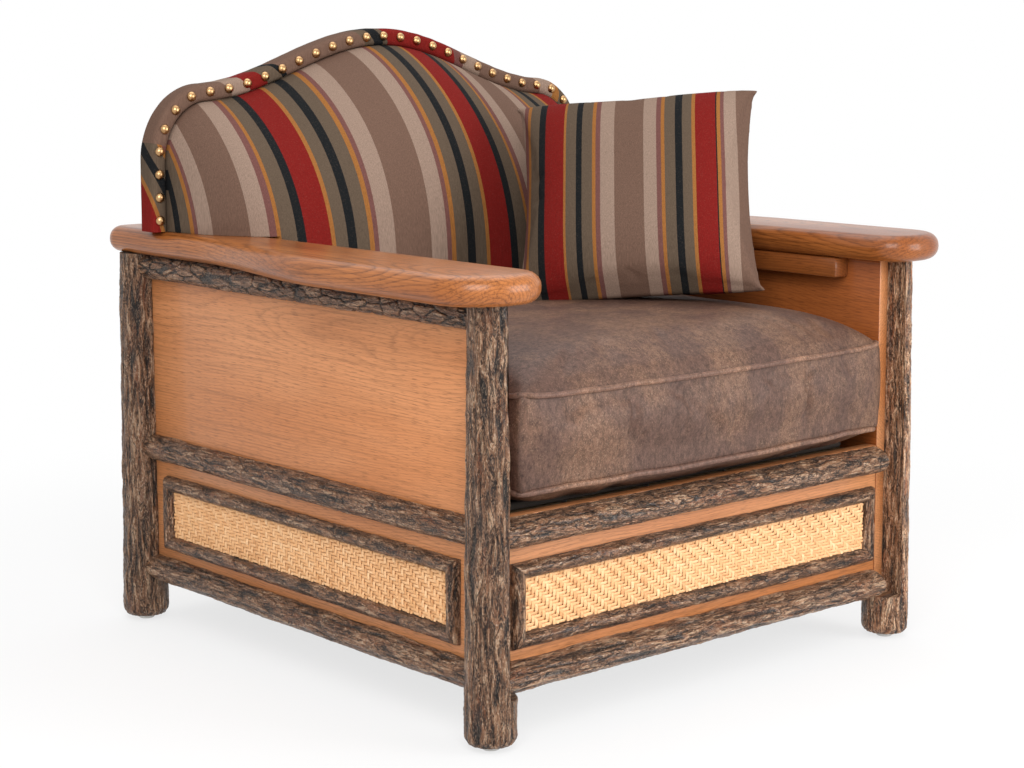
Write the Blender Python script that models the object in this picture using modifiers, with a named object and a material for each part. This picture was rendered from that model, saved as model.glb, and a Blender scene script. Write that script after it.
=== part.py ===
"""Rustic lounge chair: log posts and rails round an oak box, upholstered back, loose cushion and pillow.

Metres, +Z up. The origin is on the floor under the middle of the chair, and the front faces -Y.
"""
import math

import bmesh
import bpy
from mathutils import Vector
from mathutils.bvhtree import BVHTree

# Clearance between pieces that touch
GAP = 0.0003

# Log posts and glides
POST_SPAN_X = 0.766
POST_SPAN_Y = 0.803
POST_FOOT_R = 0.0335
POST_HEAD_R = 0.0280
POST_SIDES = 20
POST_SPLIT_OFFSET = 0.004
FOOT_HEIGHT = 0.065
GLIDE_R = 0.012
GLIDE_H = 0.008
GLIDE_EDGE = 0.002

# Oak box
ARM_UNDERSIDE = 0.558
PANEL_T = 0.019
BOX_BOTTOM = 0.067
APRON_T = 0.019
APRON_SETBACK = 0.0035
APRON_TOP = 0.287
DUST_COVER_T = 0.003

# Arms
ARM_T = 0.038
ARM_LENGTH = 0.920
ARM_INNER_OVERHANG = 0.038
ARM_WIDTH_REAR = 0.090
ARM_WIDTH_FRONT = 0.143
ARM_FLARE_START_Y = 0.210
ARM_FLARE_LENGTH = 0.350
ARM_FRONT_INNER_R = 0.055
ARM_FRONT_OUTER_R = 0.078
ARM_REAR_R = 0.034
ARM_BULLNOSE = 0.0175
ARM_CLEAT_W = 0.030
ARM_CLEAT_H = 0.029
ARM_CLEAT_LENGTH = 0.610
ARM_CLEAT_CENTRE_Y = -0.035

# Half-log rails and logs
RAIL_H = 0.037
RAIL_PROUD = 0.020
MID_RAIL_Z = 0.2675
BOTTOM_RAIL_Z = 0.0845
LOG_H = 0.038
LOG_PROUD = 0.030
LOG_END_CLEARANCE = 0.015
LOG_OFF_CENTRE = -0.012
LOG_SIDES = 16

# Woven panels and their mitred mouldings
WEAVE_BOTTOM = 0.1385
WEAVE_TOP = 0.2070
FRONT_WEAVE_HALF = 0.3285
SIDE_WEAVE_HALF = 0.3185
WEAVE_T = 0.004
MOULDING_W = 0.021
MOULDING_PROUD = 0.014
MOULDING_SIDES = 12

# Seat platform
SEAT_RAIL_W = 0.060
SEAT_RAIL_T = 0.030
SEAT_CLEAT_W = 0.040
SEAT_CLEAT_T = 0.029
DECK_ABOVE_APRON = 0.0023
SPRING_COUNT = 4
SPRING_PITCH_X = 0.150
SPRING_WIRE_R = 0.002
SPRING_HALF_WIDTH = 0.022
SPRING_HALF_WAVES = 14
SPRING_POINTS_PER_WAVE = 4
SPRING_SEAT = 0.025
DECK_T = 0.010
DECK_EDGE = 0.018

# Back
BACK_FRONT_Y = 0.298
BORDER_DEPTH = 0.038
BACK_BOARD_T = 0.015
BACK_BOARD_SETBACK = 0.008
NAIL_HALF_WIDTH = 0.409
SHOULDER_X = 0.322
SHOULDER_Z = 0.796
HUMP_H = 0.081
HUMP_REACH = 0.340
CORNER_DROP = 0.100
HUMP_STEPS = 9
CORNER_STEPS = 5
BORDER_OUT = 0.012
BORDER_IN = 0.014
BORDER_ROUND = 0.009
TONGUE_CLEARANCE = 0.004

# Back pad
PAD_RIM_T = 0.008
PAD_RIM_CLEARANCE = 0.002
PAD_CROWN = 0.200
PAD_CROWN_REACH = 0.330
PAD_CROWN_POWER = 2.6
PAD_CROWN_ONSET = 0.8
PAD_TUCK = 0.050
PAD_SIDE_REACH = 0.120
PAD_COLUMNS = 20
PAD_ROWS = 13

# Seat cushion
CUSHION_SIDE_CLEARANCE = 0.008
CUSHION_DEPTH = 0.516
CUSHION_FRONT_Y = -0.420
CUSHION_BOXING = 0.123
CUSHION_CROWN_TOP = 0.050
CUSHION_CROWN_UNDER = 0.026
CUSHION_FRONT_BULGE = 0.018
CUSHION_SIDE_BULGE = 0.004

# Pillow
PILLOW_W = 0.364
PILLOW_H = 0.340
PILLOW_T = 0.126
PILLOW_EDGE_T = 0.009
PILLOW_SIDE_PULL = 0.080
PILLOW_TOP_PULL = 0.035
PILLOW_X = 0.106
PILLOW_Y = -0.160
PILLOW_TURN = math.radians(-50.5)
PILLOW_LEAN = math.radians(32.7)
PILLOW_ROLL = math.radians(4.8)

SOFT_CUTS = 5

# Places that follow from the sizes above
POST_X = POST_SPAN_X / 2
POST_Y = POST_SPAN_Y / 2
PANEL_OUTER = POST_X - POST_SPLIT_OFFSET
PANEL_INNER = PANEL_OUTER - PANEL_T
APRON_FACE = POST_Y - APRON_SETBACK
APRON_INSIDE = APRON_FACE - APRON_T
ARM_TOP = ARM_UNDERSIDE + GAP + ARM_T
ARM_INNER = PANEL_INNER - ARM_INNER_OVERHANG
ARM_FRONT_Y = -ARM_LENGTH / 2
ARM_REAR_Y = ARM_LENGTH / 2
TOP_RAIL_Z = ARM_UNDERSIDE - GAP - RAIL_H / 2
TONGUE_HALF = ARM_INNER - TONGUE_CLEARANCE
BACK_BOARD_Y = BACK_FRONT_Y + BACK_BOARD_SETBACK
SEAT_RAIL_REAR_Y = BACK_BOARD_Y - GAP - SEAT_RAIL_W / 2
SEAT_RAIL_FRONT_Y = -APRON_INSIDE + GAP + SEAT_RAIL_W / 2
DECK_TOP = APRON_TOP + DECK_ABOVE_APRON
DECK_UNDER = DECK_TOP - DECK_T
SPRING_Z = DECK_UNDER - GAP - SPRING_WIRE_R
SEAT_RAIL_TOP = SPRING_Z - SPRING_WIRE_R - GAP
CORNER_BASE = SHOULDER_Z - CORNER_DROP

# Finishes: colour, roughness, metallic
BARK = ((0.085, 0.066, 0.052), 0.9, 0.0)
OAK = ((0.46, 0.20, 0.062), 0.35, 0.0)
CANE = ((0.72, 0.54, 0.30), 0.6, 0.0)
LEATHER = ((0.105, 0.070, 0.052), 0.55, 0.0)
STRIPED_CLOTH = ((0.20, 0.15, 0.12), 0.95, 0.0)
SEAT_WOOD = ((0.42, 0.30, 0.18), 0.7, 0.0)
DECK_CLOTH = ((0.10, 0.08, 0.07), 0.95, 0.0)
DARK_CLOTH = ((0.02, 0.02, 0.02), 0.95, 0.0)
SPRING_STEEL = ((0.20, 0.20, 0.21), 0.4, 1.0)
GLIDE_STEEL = ((0.45, 0.44, 0.42), 0.35, 1.0)

for old in list(bpy.data.objects):
    bpy.data.objects.remove(old, do_unlink=True)


def new_collection(name):
    collection = bpy.data.collections.new(name)
    bpy.context.scene.collection.children.link(collection)
    return collection


PARTS = new_collection("rustic_lounge_chair")
CUTTERS = new_collection("cutters")


def finish_material(name, finish):
    colour, roughness, metallic = finish
    material = bpy.data.materials.new(name + "_finish")
    material.use_nodes = True
    shader = material.node_tree.nodes["Principled BSDF"]
    shader.inputs["Base Color"].default_value = (*colour, 1.0)
    shader.inputs["Roughness"].default_value = roughness
    shader.inputs["Metallic"].default_value = metallic
    return material


def place_empty(name, location=(0, 0, 0), turn_z=0.0):
    empty = bpy.data.objects.new(name, None)
    empty.location = location
    empty.rotation_euler = (0, 0, turn_z)
    PARTS.objects.link(empty)
    return empty


CHAIR = place_empty("chair")


def add_part(name, shape, finish, location=(0, 0, 0), turn=(0, 0, 0), parent=None):
    """Make a part from a bmesh, with its own material, under its parent."""
    bmesh.ops.recalc_face_normals(shape, faces=shape.faces)
    mesh = bpy.data.meshes.new(name)
    shape.to_mesh(mesh)
    shape.free()
    return add_mesh(name, mesh, finish, location, turn, parent)


def add_mesh(name, mesh, finish, location=(0, 0, 0), turn=(0, 0, 0), parent=None):
    mesh.materials.clear()
    mesh.materials.append(finish_material(name, finish))
    part = bpy.data.objects.new(name, mesh)
    part.location = location
    part.rotation_euler = turn
    part.parent = parent or CHAIR
    PARTS.objects.link(part)
    return part


def add_cutter(name, shape, location):
    bmesh.ops.recalc_face_normals(shape, faces=shape.faces)
    mesh = bpy.data.meshes.new(name)
    shape.to_mesh(mesh)
    shape.free()
    cutter = bpy.data.objects.new(name, mesh)
    cutter.location = location
    cutter.hide_render = True
    cutter.display_type = "WIRE"
    CUTTERS.objects.link(cutter)
    return cutter


def cut(part, cutter):
    boolean = part.modifiers.new("cut_" + cutter.name, "BOOLEAN")
    boolean.operation = "DIFFERENCE"
    boolean.object = cutter


def round_edges(part, width, segments, angle=math.radians(50)):
    bevel = part.modifiers.new("rounded_edges", "BEVEL")
    bevel.width = width
    bevel.segments = segments
    bevel.limit_method = "ANGLE"
    bevel.angle_limit = angle
    bevel.use_clamp_overlap = False


def shade_round(part):
    part.data.shade_smooth()
    part.data.set_sharp_from_angle(angle=math.radians(40))


def block(size):
    shape = bmesh.new()
    bmesh.ops.create_cube(shape, size=1.0)
    bmesh.ops.scale(shape, vec=size, verts=shape.verts)
    return shape


def cone(foot_r, head_r, height, sides):
    shape = bmesh.new()
    bmesh.ops.create_cone(shape, cap_ends=True, segments=sides, radius1=foot_r, radius2=head_r, depth=height)
    return shape


def board(name, low, high, finish, parent=None):
    """A board from its lowest to its highest corner."""
    size = [b - a for a, b in zip(low, high)]
    centre = [(a + b) / 2 for a, b in zip(low, high)]
    return add_part(name, block(size), finish, centre, parent=parent)


def slice_off(shape, point, normal):
    """Cut away what lies on the normal's side of a plane, and close the cut."""
    geometry = shape.verts[:] + shape.edges[:] + shape.faces[:]
    result = bmesh.ops.bisect_plane(
        shape, geom=geometry, dist=1e-6, plane_co=point, plane_no=normal, clear_outer=True
    )
    rim = [item for item in result["geom_cut"] if isinstance(item, bmesh.types.BMEdge)]
    bmesh.ops.edgeloop_fill(shape, edges=rim)


def half_log(length, height, proud, sides):
    """A log along X, split flat at y = 0, that stands proud towards -Y."""
    shape = cone(1.0, 1.0, length, sides)
    bmesh.ops.rotate(shape, cent=(0, 0, 0), matrix=quarter_turn_y(), verts=shape.verts)
    bmesh.ops.scale(shape, vec=(1, proud, height / 2), verts=shape.verts)
    slice_off(shape, (0, 0, 0), (0, 1, 0))
    return shape


def quarter_turn_y():
    from_z_to_x = Vector((0, 0, 1)).rotation_difference(Vector((1, 0, 0)))
    return from_z_to_x.to_matrix()


def outline_plate(name, outline, thickness, finish, location, turn):
    """A flat outline with a thickness, as a welded mesh."""
    curve = bpy.data.curves.new(name + "_outline", "CURVE")
    curve.dimensions = "2D"
    curve.fill_mode = "BOTH"
    curve.extrude = thickness / 2
    spline = curve.splines.new("POLY")
    spline.points.add(len(outline) - 1)
    for point, (x, y) in zip(spline.points, outline):
        point.co = (x, y, 0, 1)
    spline.use_cyclic_u = True
    flat = bpy.data.objects.new(name + "_outline", curve)
    PARTS.objects.link(flat)
    bpy.context.view_layer.update()
    evaluated = flat.evaluated_get(bpy.context.evaluated_depsgraph_get())
    mesh = bpy.data.meshes.new_from_object(evaluated)
    bpy.data.objects.remove(flat, do_unlink=True)
    shape = bmesh.new()
    shape.from_mesh(mesh)
    bmesh.ops.remove_doubles(shape, verts=shape.verts, dist=1e-5)
    bmesh.ops.dissolve_limit(shape, angle_limit=math.radians(0.5), verts=shape.verts, edges=shape.edges)
    bmesh.ops.recalc_face_normals(shape, faces=shape.faces)
    shape.to_mesh(mesh)
    shape.free()
    return add_mesh(name, mesh, finish, location, turn)


def arc(centre, radius, start_deg, end_deg, steps):
    points = []
    for step in range(steps + 1):
        angle = math.radians(start_deg + (end_deg - start_deg) * step / steps)
        points.append((centre[0] + radius * math.cos(angle), centre[1] + radius * math.sin(angle)))
    return points


# Log posts and glides
SIDES_X = {"left": -1, "right": 1}
ENDS_Y = {"front": -1, "rear": 1}
POST_H = ARM_UNDERSIDE - GLIDE_H - GAP
POST_COPES = {}


def make_posts():
    split_height = ARM_UNDERSIDE - FOOT_HEIGHT + POST_FOOT_R
    split_centre_z = FOOT_HEIGHT + split_height / 2
    for side, sign_x in SIDES_X.items():
        split = add_cutter(
            "post_split_" + side,
            block((2 * POST_X, POST_SPAN_Y + 4 * POST_FOOT_R, split_height)),
            (sign_x * (PANEL_OUTER + GAP - POST_X), 0, split_centre_z),
        )
        for end, sign_y in ENDS_Y.items():
            at = (sign_x * POST_X, sign_y * POST_Y, GLIDE_H + GAP + POST_H / 2)
            name = f"post_{end}_{side}"
            post = add_part(name, cone(POST_FOOT_R, POST_HEAD_R, POST_H, POST_SIDES), BARK, at)
            cut(post, split)
            shade_round(post)
            cope = cone(POST_FOOT_R + GAP, POST_HEAD_R + GAP, POST_H, POST_SIDES)
            POST_COPES[end, side] = add_cutter("cope_" + name, cope, at)
            glide = add_part(
                f"glide_{end}_{side}",
                cone(GLIDE_R, GLIDE_R, GLIDE_H, 16),
                GLIDE_STEEL,
                (at[0], at[1], GLIDE_H / 2),
            )
            round_edges(glide, GLIDE_EDGE, 1)


# Each outer face of the box has an empty: its children lie along its X and stand proud towards its -Y
FACES = {
    "front": place_empty("front_face", (0, -APRON_FACE, 0), 0.0),
    "rear": place_empty("rear_face", (0, APRON_FACE, 0), math.pi),
    "left": place_empty("left_face", (-PANEL_OUTER, 0, 0), -math.pi / 2),
    "right": place_empty("right_face", (PANEL_OUTER, 0, 0), math.pi / 2),
}


def make_box():
    for side, sign_x in SIDES_X.items():
        xs = sorted((sign_x * PANEL_INNER, sign_x * PANEL_OUTER))
        board(
            "side_panel_" + side,
            (xs[0], -APRON_FACE, BOX_BOTTOM),
            (xs[1], APRON_FACE, ARM_UNDERSIDE - GAP),
            OAK,
        )
    for end, sign_y in ENDS_Y.items():
        ys = sorted((sign_y * APRON_INSIDE, sign_y * APRON_FACE))
        board(
            end + "_apron",
            (-PANEL_INNER + GAP, ys[0], BOX_BOTTOM + DUST_COVER_T + GAP),
            (PANEL_INNER - GAP, ys[1], APRON_TOP),
            OAK,
        )
    board(
        "dust_cover",
        (-PANEL_INNER + GAP, -APRON_FACE, BOX_BOTTOM),
        (PANEL_INNER - GAP, APRON_FACE, BOX_BOTTOM + DUST_COVER_T),
        DARK_CLOTH,
    )


def make_rails():
    for side in SIDES_X:
        for level, z in (("top", TOP_RAIL_Z), ("mid", MID_RAIL_Z), ("bottom", BOTTOM_RAIL_Z)):
            rail = add_part(
                f"side_{level}_rail_{side}",
                half_log(POST_SPAN_Y, RAIL_H, RAIL_PROUD, LOG_SIDES),
                BARK,
                (0, -GAP, z),
                parent=FACES[side],
            )
            for end in ENDS_Y:
                cut(rail, POST_COPES[end, side])
            shade_round(rail)
    log_length = 2 * (PANEL_OUTER - LOG_END_CLEARANCE)
    for end in ENDS_Y:
        for level, z in (("top", MID_RAIL_Z), ("bottom", BOTTOM_RAIL_Z)):
            log = add_part(
                f"{end}_{level}_log",
                half_log(log_length, LOG_H, LOG_PROUD, LOG_SIDES),
                BARK,
                (LOG_OFF_CENTRE, -GAP, z),
                parent=FACES[end],
            )
            shade_round(log)


def mitred_moulding(outer_length):
    """A half-log whose ends are mitred: +Z is the outer side of the frame."""
    shape = half_log(outer_length, MOULDING_W, MOULDING_PROUD, MOULDING_SIDES)
    mitre_x = (outer_length - MOULDING_W) / 2 - GAP
    for sign in (-1, 1):
        slice_off(shape, (sign * mitre_x, 0, 0), (sign, 0, -1))
    return shape


def make_woven_panel(face, half_width):
    """A woven sheet on a face of the box, in a frame of four mitred mouldings."""
    mid_z = (WEAVE_BOTTOM + WEAVE_TOP) / 2
    half_height = (WEAVE_TOP - WEAVE_BOTTOM) / 2
    sheet = block((2 * (half_width - GAP), WEAVE_T, 2 * (half_height - GAP)))
    add_part("weave_" + face, sheet, CANE, (0, -GAP - WEAVE_T / 2, mid_z), parent=FACES[face])
    reach = MOULDING_W / 2
    places = {
        "top": (2 * half_width, (0, half_height + reach), 0.0),
        "right": (2 * half_height, (half_width + reach, 0), math.pi / 2),
        "bottom": (2 * half_width, (0, -half_height - reach), math.pi),
        "left": (2 * half_height, (-half_width - reach, 0), -math.pi / 2),
    }
    for edge, (inner_length, (x, z), turn) in places.items():
        strip = add_part(
            f"moulding_{face}_{edge}",
            mitred_moulding(inner_length + 2 * MOULDING_W),
            BARK,
            (x, -GAP, mid_z + z),
            (0, turn, 0),
            FACES[face],
        )
        shade_round(strip)


# Arms
def smooth_step(share):
    share = min(max(share, 0.0), 1.0)
    return share * share * (3 - 2 * share)


def arm_outline(sign):
    """The arm's plan: straight inside, flared outside, broadly rounded in front."""
    outer_rear = ARM_INNER + ARM_WIDTH_REAR
    outer_front = ARM_INNER + ARM_WIDTH_FRONT
    inner_r, outer_r, rear_r = ARM_FRONT_INNER_R, ARM_FRONT_OUTER_R, ARM_REAR_R
    points = arc((ARM_INNER + rear_r, ARM_REAR_Y - rear_r), rear_r, 90, 180, 4)
    points += arc((ARM_INNER + inner_r, ARM_FRONT_Y + inner_r), inner_r, 180, 270, 6)
    points += arc((outer_front - outer_r, ARM_FRONT_Y + outer_r), outer_r, 270, 360, 7)
    steps = 8
    for step in range(steps + 1):
        y = ARM_FLARE_START_Y - ARM_FLARE_LENGTH * (1 - step / steps)
        flare = smooth_step((ARM_FLARE_START_Y - y) / ARM_FLARE_LENGTH)
        points.append((outer_rear + flare * (outer_front - outer_rear), y))
    points += arc((outer_rear - rear_r, ARM_REAR_Y - rear_r), rear_r, 0, 90, 4)
    return [(sign * x, y) for x, y in points]


def make_arms():
    for side, sign in SIDES_X.items():
        arm = outline_plate(
            "arm_" + side,
            arm_outline(sign),
            ARM_T,
            OAK,
            (0, 0, ARM_UNDERSIDE + ARM_T / 2),
            (0, 0, 0),
        )
        round_edges(arm, ARM_BULLNOSE, 3)
        shade_round(arm)
        xs = sorted((sign * (PANEL_INNER - GAP), sign * (PANEL_INNER - GAP - ARM_CLEAT_W)))
        board(
            "arm_cleat_" + side,
            (xs[0], ARM_CLEAT_CENTRE_Y - ARM_CLEAT_LENGTH / 2, ARM_UNDERSIDE - GAP - ARM_CLEAT_H),
            (xs[1], ARM_CLEAT_CENTRE_Y + ARM_CLEAT_LENGTH / 2, ARM_UNDERSIDE - GAP),
            OAK,
        )


# Seat platform
def make_seat_platform():
    half = PANEL_INNER - GAP
    cleat_top = SEAT_RAIL_TOP - SEAT_RAIL_T - GAP
    for side, sign in SIDES_X.items():
        xs = sorted((sign * half, sign * (half - SEAT_CLEAT_W)))
        board(
            "seat_cleat_" + side,
            (xs[0], -APRON_INSIDE + GAP, cleat_top - SEAT_CLEAT_T),
            (xs[1], APRON_INSIDE - GAP, cleat_top),
            SEAT_WOOD,
        )
    for end, y in (("front", SEAT_RAIL_FRONT_Y), ("rear", SEAT_RAIL_REAR_Y)):
        board(
            "seat_rail_" + end,
            (-half, y - SEAT_RAIL_W / 2, SEAT_RAIL_TOP - SEAT_RAIL_T),
            (half, y + SEAT_RAIL_W / 2, SEAT_RAIL_TOP),
            SEAT_WOOD,
        )
    board(
        "seat_deck",
        (-half + DECK_EDGE, SEAT_RAIL_FRONT_Y, DECK_UNDER),
        (half - DECK_EDGE, BACK_BOARD_Y - GAP, DECK_TOP),
        DECK_CLOTH,
    )
    for number in range(SPRING_COUNT):
        make_spring(number)


def make_spring(number):
    """A sinuous spring: a flat wave of wire whose ends lie on the front and rear seat rails."""
    start_y = SEAT_RAIL_FRONT_Y + SEAT_RAIL_W / 2 - SPRING_SEAT
    end_y = SEAT_RAIL_REAR_Y - SEAT_RAIL_W / 2 + SPRING_SEAT
    steps = SPRING_HALF_WAVES * SPRING_POINTS_PER_WAVE
    curve = bpy.data.curves.new(f"seat_spring_{number + 1}", "CURVE")
    curve.dimensions = "3D"
    curve.bevel_depth = SPRING_WIRE_R
    curve.bevel_resolution = 1
    curve.use_fill_caps = True
    spline = curve.splines.new("POLY")
    spline.points.add(steps)
    for step, point in enumerate(spline.points):
        share = step / steps
        x = SPRING_HALF_WIDTH * math.cos(math.pi * SPRING_HALF_WAVES * share)
        point.co = (x, start_y + share * (end_y - start_y), 0, 1)
    curve.materials.append(finish_material(f"seat_spring_{number + 1}", SPRING_STEEL))
    spring = bpy.data.objects.new(f"seat_spring_{number + 1}", curve)
    spring.location = ((number - (SPRING_COUNT - 1) / 2) * SPRING_PITCH_X, 0, SPRING_Z)
    spring.parent = CHAIR
    PARTS.objects.link(spring)


# Back
def hump_height(x):
    return SHOULDER_Z + HUMP_H * 0.5 * (1 + math.cos(math.pi * min(abs(x) / HUMP_REACH, 1.0)))


def nail_line():
    """The line that the nails follow, from the left arm over the crest to the right arm."""
    shoulder_z = hump_height(SHOULDER_X)
    corner_x = NAIL_HALF_WIDTH - SHOULDER_X
    half = []
    for step in range(HUMP_STEPS):
        x = SHOULDER_X * step / HUMP_STEPS
        half.append((x, hump_height(x)))
    for step in range(CORNER_STEPS + 1):
        angle = 0.5 * math.pi * step / CORNER_STEPS
        x = SHOULDER_X + corner_x * math.sin(angle)
        half.append((x, CORNER_BASE + (shoulder_z - CORNER_BASE) * math.cos(angle)))
    half.append((NAIL_HALF_WIDTH, ARM_TOP + GAP))
    mirrored = [(-x, z) for x, z in reversed(half[1:])]
    return mirrored + half


def offset_line(line, distance):
    """Move a line outwards. Its two feet stay on the arms."""
    moved = []
    for index, (x, z) in enumerate(line):
        before = line[max(index - 1, 0)]
        after = line[min(index + 1, len(line) - 1)]
        along = Vector((after[0] - before[0], after[1] - before[1])).normalized()
        moved.append((x - along.y * distance, z + along.x * distance))
    return moved


def rim_height(x, line):
    """Height of an arched line at a given x."""
    for (x0, z0), (x1, z1) in zip(line, line[1:]):
        if x0 <= x <= x1 and x1 > x0:
            return z0 + (z1 - z0) * (x - x0) / (x1 - x0)
    return line[0][1]


UPRIGHT = (math.pi / 2, 0, 0)


def tongue_outline(foot_z):
    """The back's outline inside the border, with a tongue that goes down between the arms."""
    arch = offset_line(nail_line(), -BORDER_IN - GAP)
    step_z = ARM_TOP + GAP
    tongue = [(TONGUE_HALF, step_z), (TONGUE_HALF, foot_z), (-TONGUE_HALF, foot_z), (-TONGUE_HALF, step_z)]
    return arch + tongue


def make_back():
    line = nail_line()
    ring = offset_line(line, BORDER_OUT) + list(reversed(offset_line(line, -BORDER_IN)))
    border_y = BACK_FRONT_Y + BORDER_DEPTH / 2
    border = outline_plate("back_border", ring, BORDER_DEPTH, STRIPED_CLOTH, (0, border_y, 0), UPRIGHT)
    round_edges(border, BORDER_ROUND, 2)
    shade_round(border)
    board_y = BACK_BOARD_Y + BACK_BOARD_T / 2
    foot_z = SEAT_RAIL_TOP - SEAT_RAIL_T
    outline_plate("back_board", tongue_outline(foot_z), BACK_BOARD_T, SEAT_WOOD, (0, board_y, 0), UPRIGHT)
    outside_front = BACK_BOARD_Y + BACK_BOARD_T + GAP
    outside_rear = BACK_FRONT_Y + BORDER_DEPTH
    outline_plate(
        "outside_back",
        tongue_outline(foot_z),
        outside_rear - outside_front,
        STRIPED_CLOTH,
        (0, (outside_front + outside_rear) / 2, 0),
        UPRIGHT,
    )
    make_back_pad(offset_line(line, -BORDER_IN - PAD_RIM_CLEARANCE))


def pad_crown(x, z, top_z, half_width):
    """How far the pad's front stands forward of its rim."""
    depth = max(top_z - z, 0.0)
    if depth < PAD_CROWN_REACH:
        rise = (1 - (1 - depth / PAD_CROWN_REACH) ** PAD_CROWN_POWER) ** PAD_CROWN_ONSET
    else:
        lower = (depth - PAD_CROWN_REACH) / (top_z - DECK_TOP - PAD_CROWN_REACH)
        rise = 1 - PAD_TUCK / PAD_CROWN * lower * lower
    edge = min((half_width - abs(x)) / PAD_SIDE_REACH, 1.0)
    return PAD_CROWN * rise * math.sqrt(max(1 - (1 - edge) ** 2, 0.0))


def make_back_pad(rim):
    """A crowned pad with a flat rear face, cut away where the arms pass its sides."""
    half_width = rim[-1][0]
    foot_z = DECK_TOP + GAP
    shape = bmesh.new()
    bmesh.ops.create_grid(shape, x_segments=PAD_COLUMNS, y_segments=PAD_ROWS, size=1.0)
    for vert in shape.verts:
        x = half_width * math.sin(0.5 * math.pi * vert.co.x)
        top_z = rim_height(x, rim) if abs(x) < half_width - GAP else CORNER_BASE
        share = ((1 - vert.co.y) / 2) ** 1.7
        vert.co = (x, BACK_BOARD_Y - GAP, top_z - (top_z - foot_z) * share)
    front = bmesh.ops.extrude_face_region(shape, geom=shape.faces[:], use_keep_orig=True)
    for vert in [item for item in front["geom"] if isinstance(item, bmesh.types.BMVert)]:
        x, y, z = vert.co
        top_z = rim_height(x, rim) if abs(x) < half_width - GAP else CORNER_BASE
        vert.co.y = y - PAD_RIM_T - pad_crown(x, z, top_z, half_width)
    pad = add_part("back_pad", shape, STRIPED_CLOTH)
    cutter_h = ARM_TOP + GAP - foot_z + 2 * PAD_RIM_T
    cutter_z = ARM_TOP + GAP - cutter_h / 2
    for side, sign in SIDES_X.items():
        cutter = add_cutter(
            "arm_room_" + side,
            block((half_width, 2 * PAD_CROWN + 4 * PAD_RIM_T, cutter_h)),
            (sign * (TONGUE_HALF + half_width / 2), BACK_BOARD_Y, cutter_z),
        )
        cut(pad, cutter)
    shade_round(pad)


# Soft loose pieces
def soft_block(name, form, finish, location, turn, parent):
    """A cushion from a cube's cage: form maps -1 to 1 along each side to a place."""
    shape = bmesh.new()
    bmesh.ops.create_cube(shape, size=2.0)
    bmesh.ops.subdivide_edges(shape, edges=shape.edges, cuts=SOFT_CUTS, use_grid_fill=True)
    for vert in shape.verts:
        spread = [math.copysign(1 - (1 - abs(c)) ** 1.8, c) for c in vert.co]
        vert.co = form(*spread)
    part = add_part(name, shape, finish, location, turn, parent)
    subdivision = part.modifiers.new("soft", "SUBSURF")
    subdivision.levels = 1
    subdivision.render_levels = 1
    part.data.shade_smooth()
    return part


def cushion_form(u, v, w):
    dome = max((1 - u ** 4) * (1 - v ** 4), 0.0) ** 0.5
    half_w = PANEL_INNER - CUSHION_SIDE_CLEARANCE
    bulge = CUSHION_SIDE_BULGE * (1 - w * w)
    x = (half_w + bulge) * u
    y = CUSHION_DEPTH / 2 * v - CUSHION_FRONT_BULGE * (1 - u * u) * ((1 - v) / 2) ** 2
    crown = CUSHION_CROWN_TOP if w > 0 else CUSHION_CROWN_UNDER
    z = (CUSHION_BOXING / 2 + crown * dome) * w
    return (x, y, z)


def pillow_form(u, v, w):
    x = PILLOW_W / 2 * u * (1 - PILLOW_SIDE_PULL * (1 - v * v))
    z = PILLOW_H / 2 * v * (1 - PILLOW_TOP_PULL * (1 - u * u)) + PILLOW_H / 2
    fill = max((1 - u ** 4) * (1 - v ** 4), 0.0) ** 0.7
    y = (PILLOW_EDGE_T + (PILLOW_T - PILLOW_EDGE_T) * fill) / 2 * w
    return (x, y, z)


def world_tree(part):
    bpy.context.view_layer.update()
    graph = bpy.context.evaluated_depsgraph_get()
    evaluated = part.evaluated_get(graph)
    mesh = evaluated.to_mesh()
    points = [evaluated.matrix_world @ vert.co for vert in mesh.vertices]
    faces = [tuple(face.vertices) for face in mesh.polygons]
    evaluated.to_mesh_clear()
    return points, BVHTree.FromPolygons(points, faces)


def lower_onto(part, support):
    """Lower a part until it lies one gap above its support."""
    part_points, part_tree = world_tree(part)
    support_points, support_tree = world_tree(support)
    clear = []
    for point in part_points:
        hit = support_tree.ray_cast(point, Vector((0, 0, -1)))
        if hit[0]:
            clear.append(hit[3])
    for point in support_points:
        hit = part_tree.ray_cast(point, Vector((0, 0, 1)))
        if hit[0]:
            clear.append(hit[3])
    part.location.z -= min(clear) - GAP


def make_loose_pieces():
    slide = place_empty("seat_cushion_slide")
    start_z = DECK_TOP + CUSHION_BOXING
    cushion_y = CUSHION_FRONT_Y + CUSHION_DEPTH / 2
    cushion = soft_block("seat_cushion", cushion_form, LEATHER, (0, cushion_y, start_z), (0, 0, 0), slide)
    lower_onto(cushion, bpy.data.objects["seat_deck"])
    lift = place_empty("throw_pillow_lift")
    pillow = soft_block(
        "throw_pillow",
        pillow_form,
        STRIPED_CLOTH,
        (PILLOW_X, PILLOW_Y, DECK_TOP + 2 * CUSHION_BOXING),
        (-PILLOW_LEAN, -PILLOW_ROLL, PILLOW_TURN),
        lift,
    )
    lower_onto(pillow, cushion)


make_posts()
make_box()
make_rails()
make_woven_panel("front", FRONT_WEAVE_HALF)
make_woven_panel("left", SIDE_WEAVE_HALF)
make_woven_panel("right", SIDE_WEAVE_HALF)
make_arms()
make_seat_platform()
make_back()
make_loose_pieces()
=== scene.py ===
"""Looks of the rustic lounge chair: bark, oak, cane, striped cloth, leather and brass round its frame.

Metres, +Z up, front towards -Y. Each piece rides a body of the frame and stands for the nodes it covers.
"""
import math

import bmesh
import bpy
from mathutils import Matrix, Vector, noise
from mathutils.bvhtree import BVHTree


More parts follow.
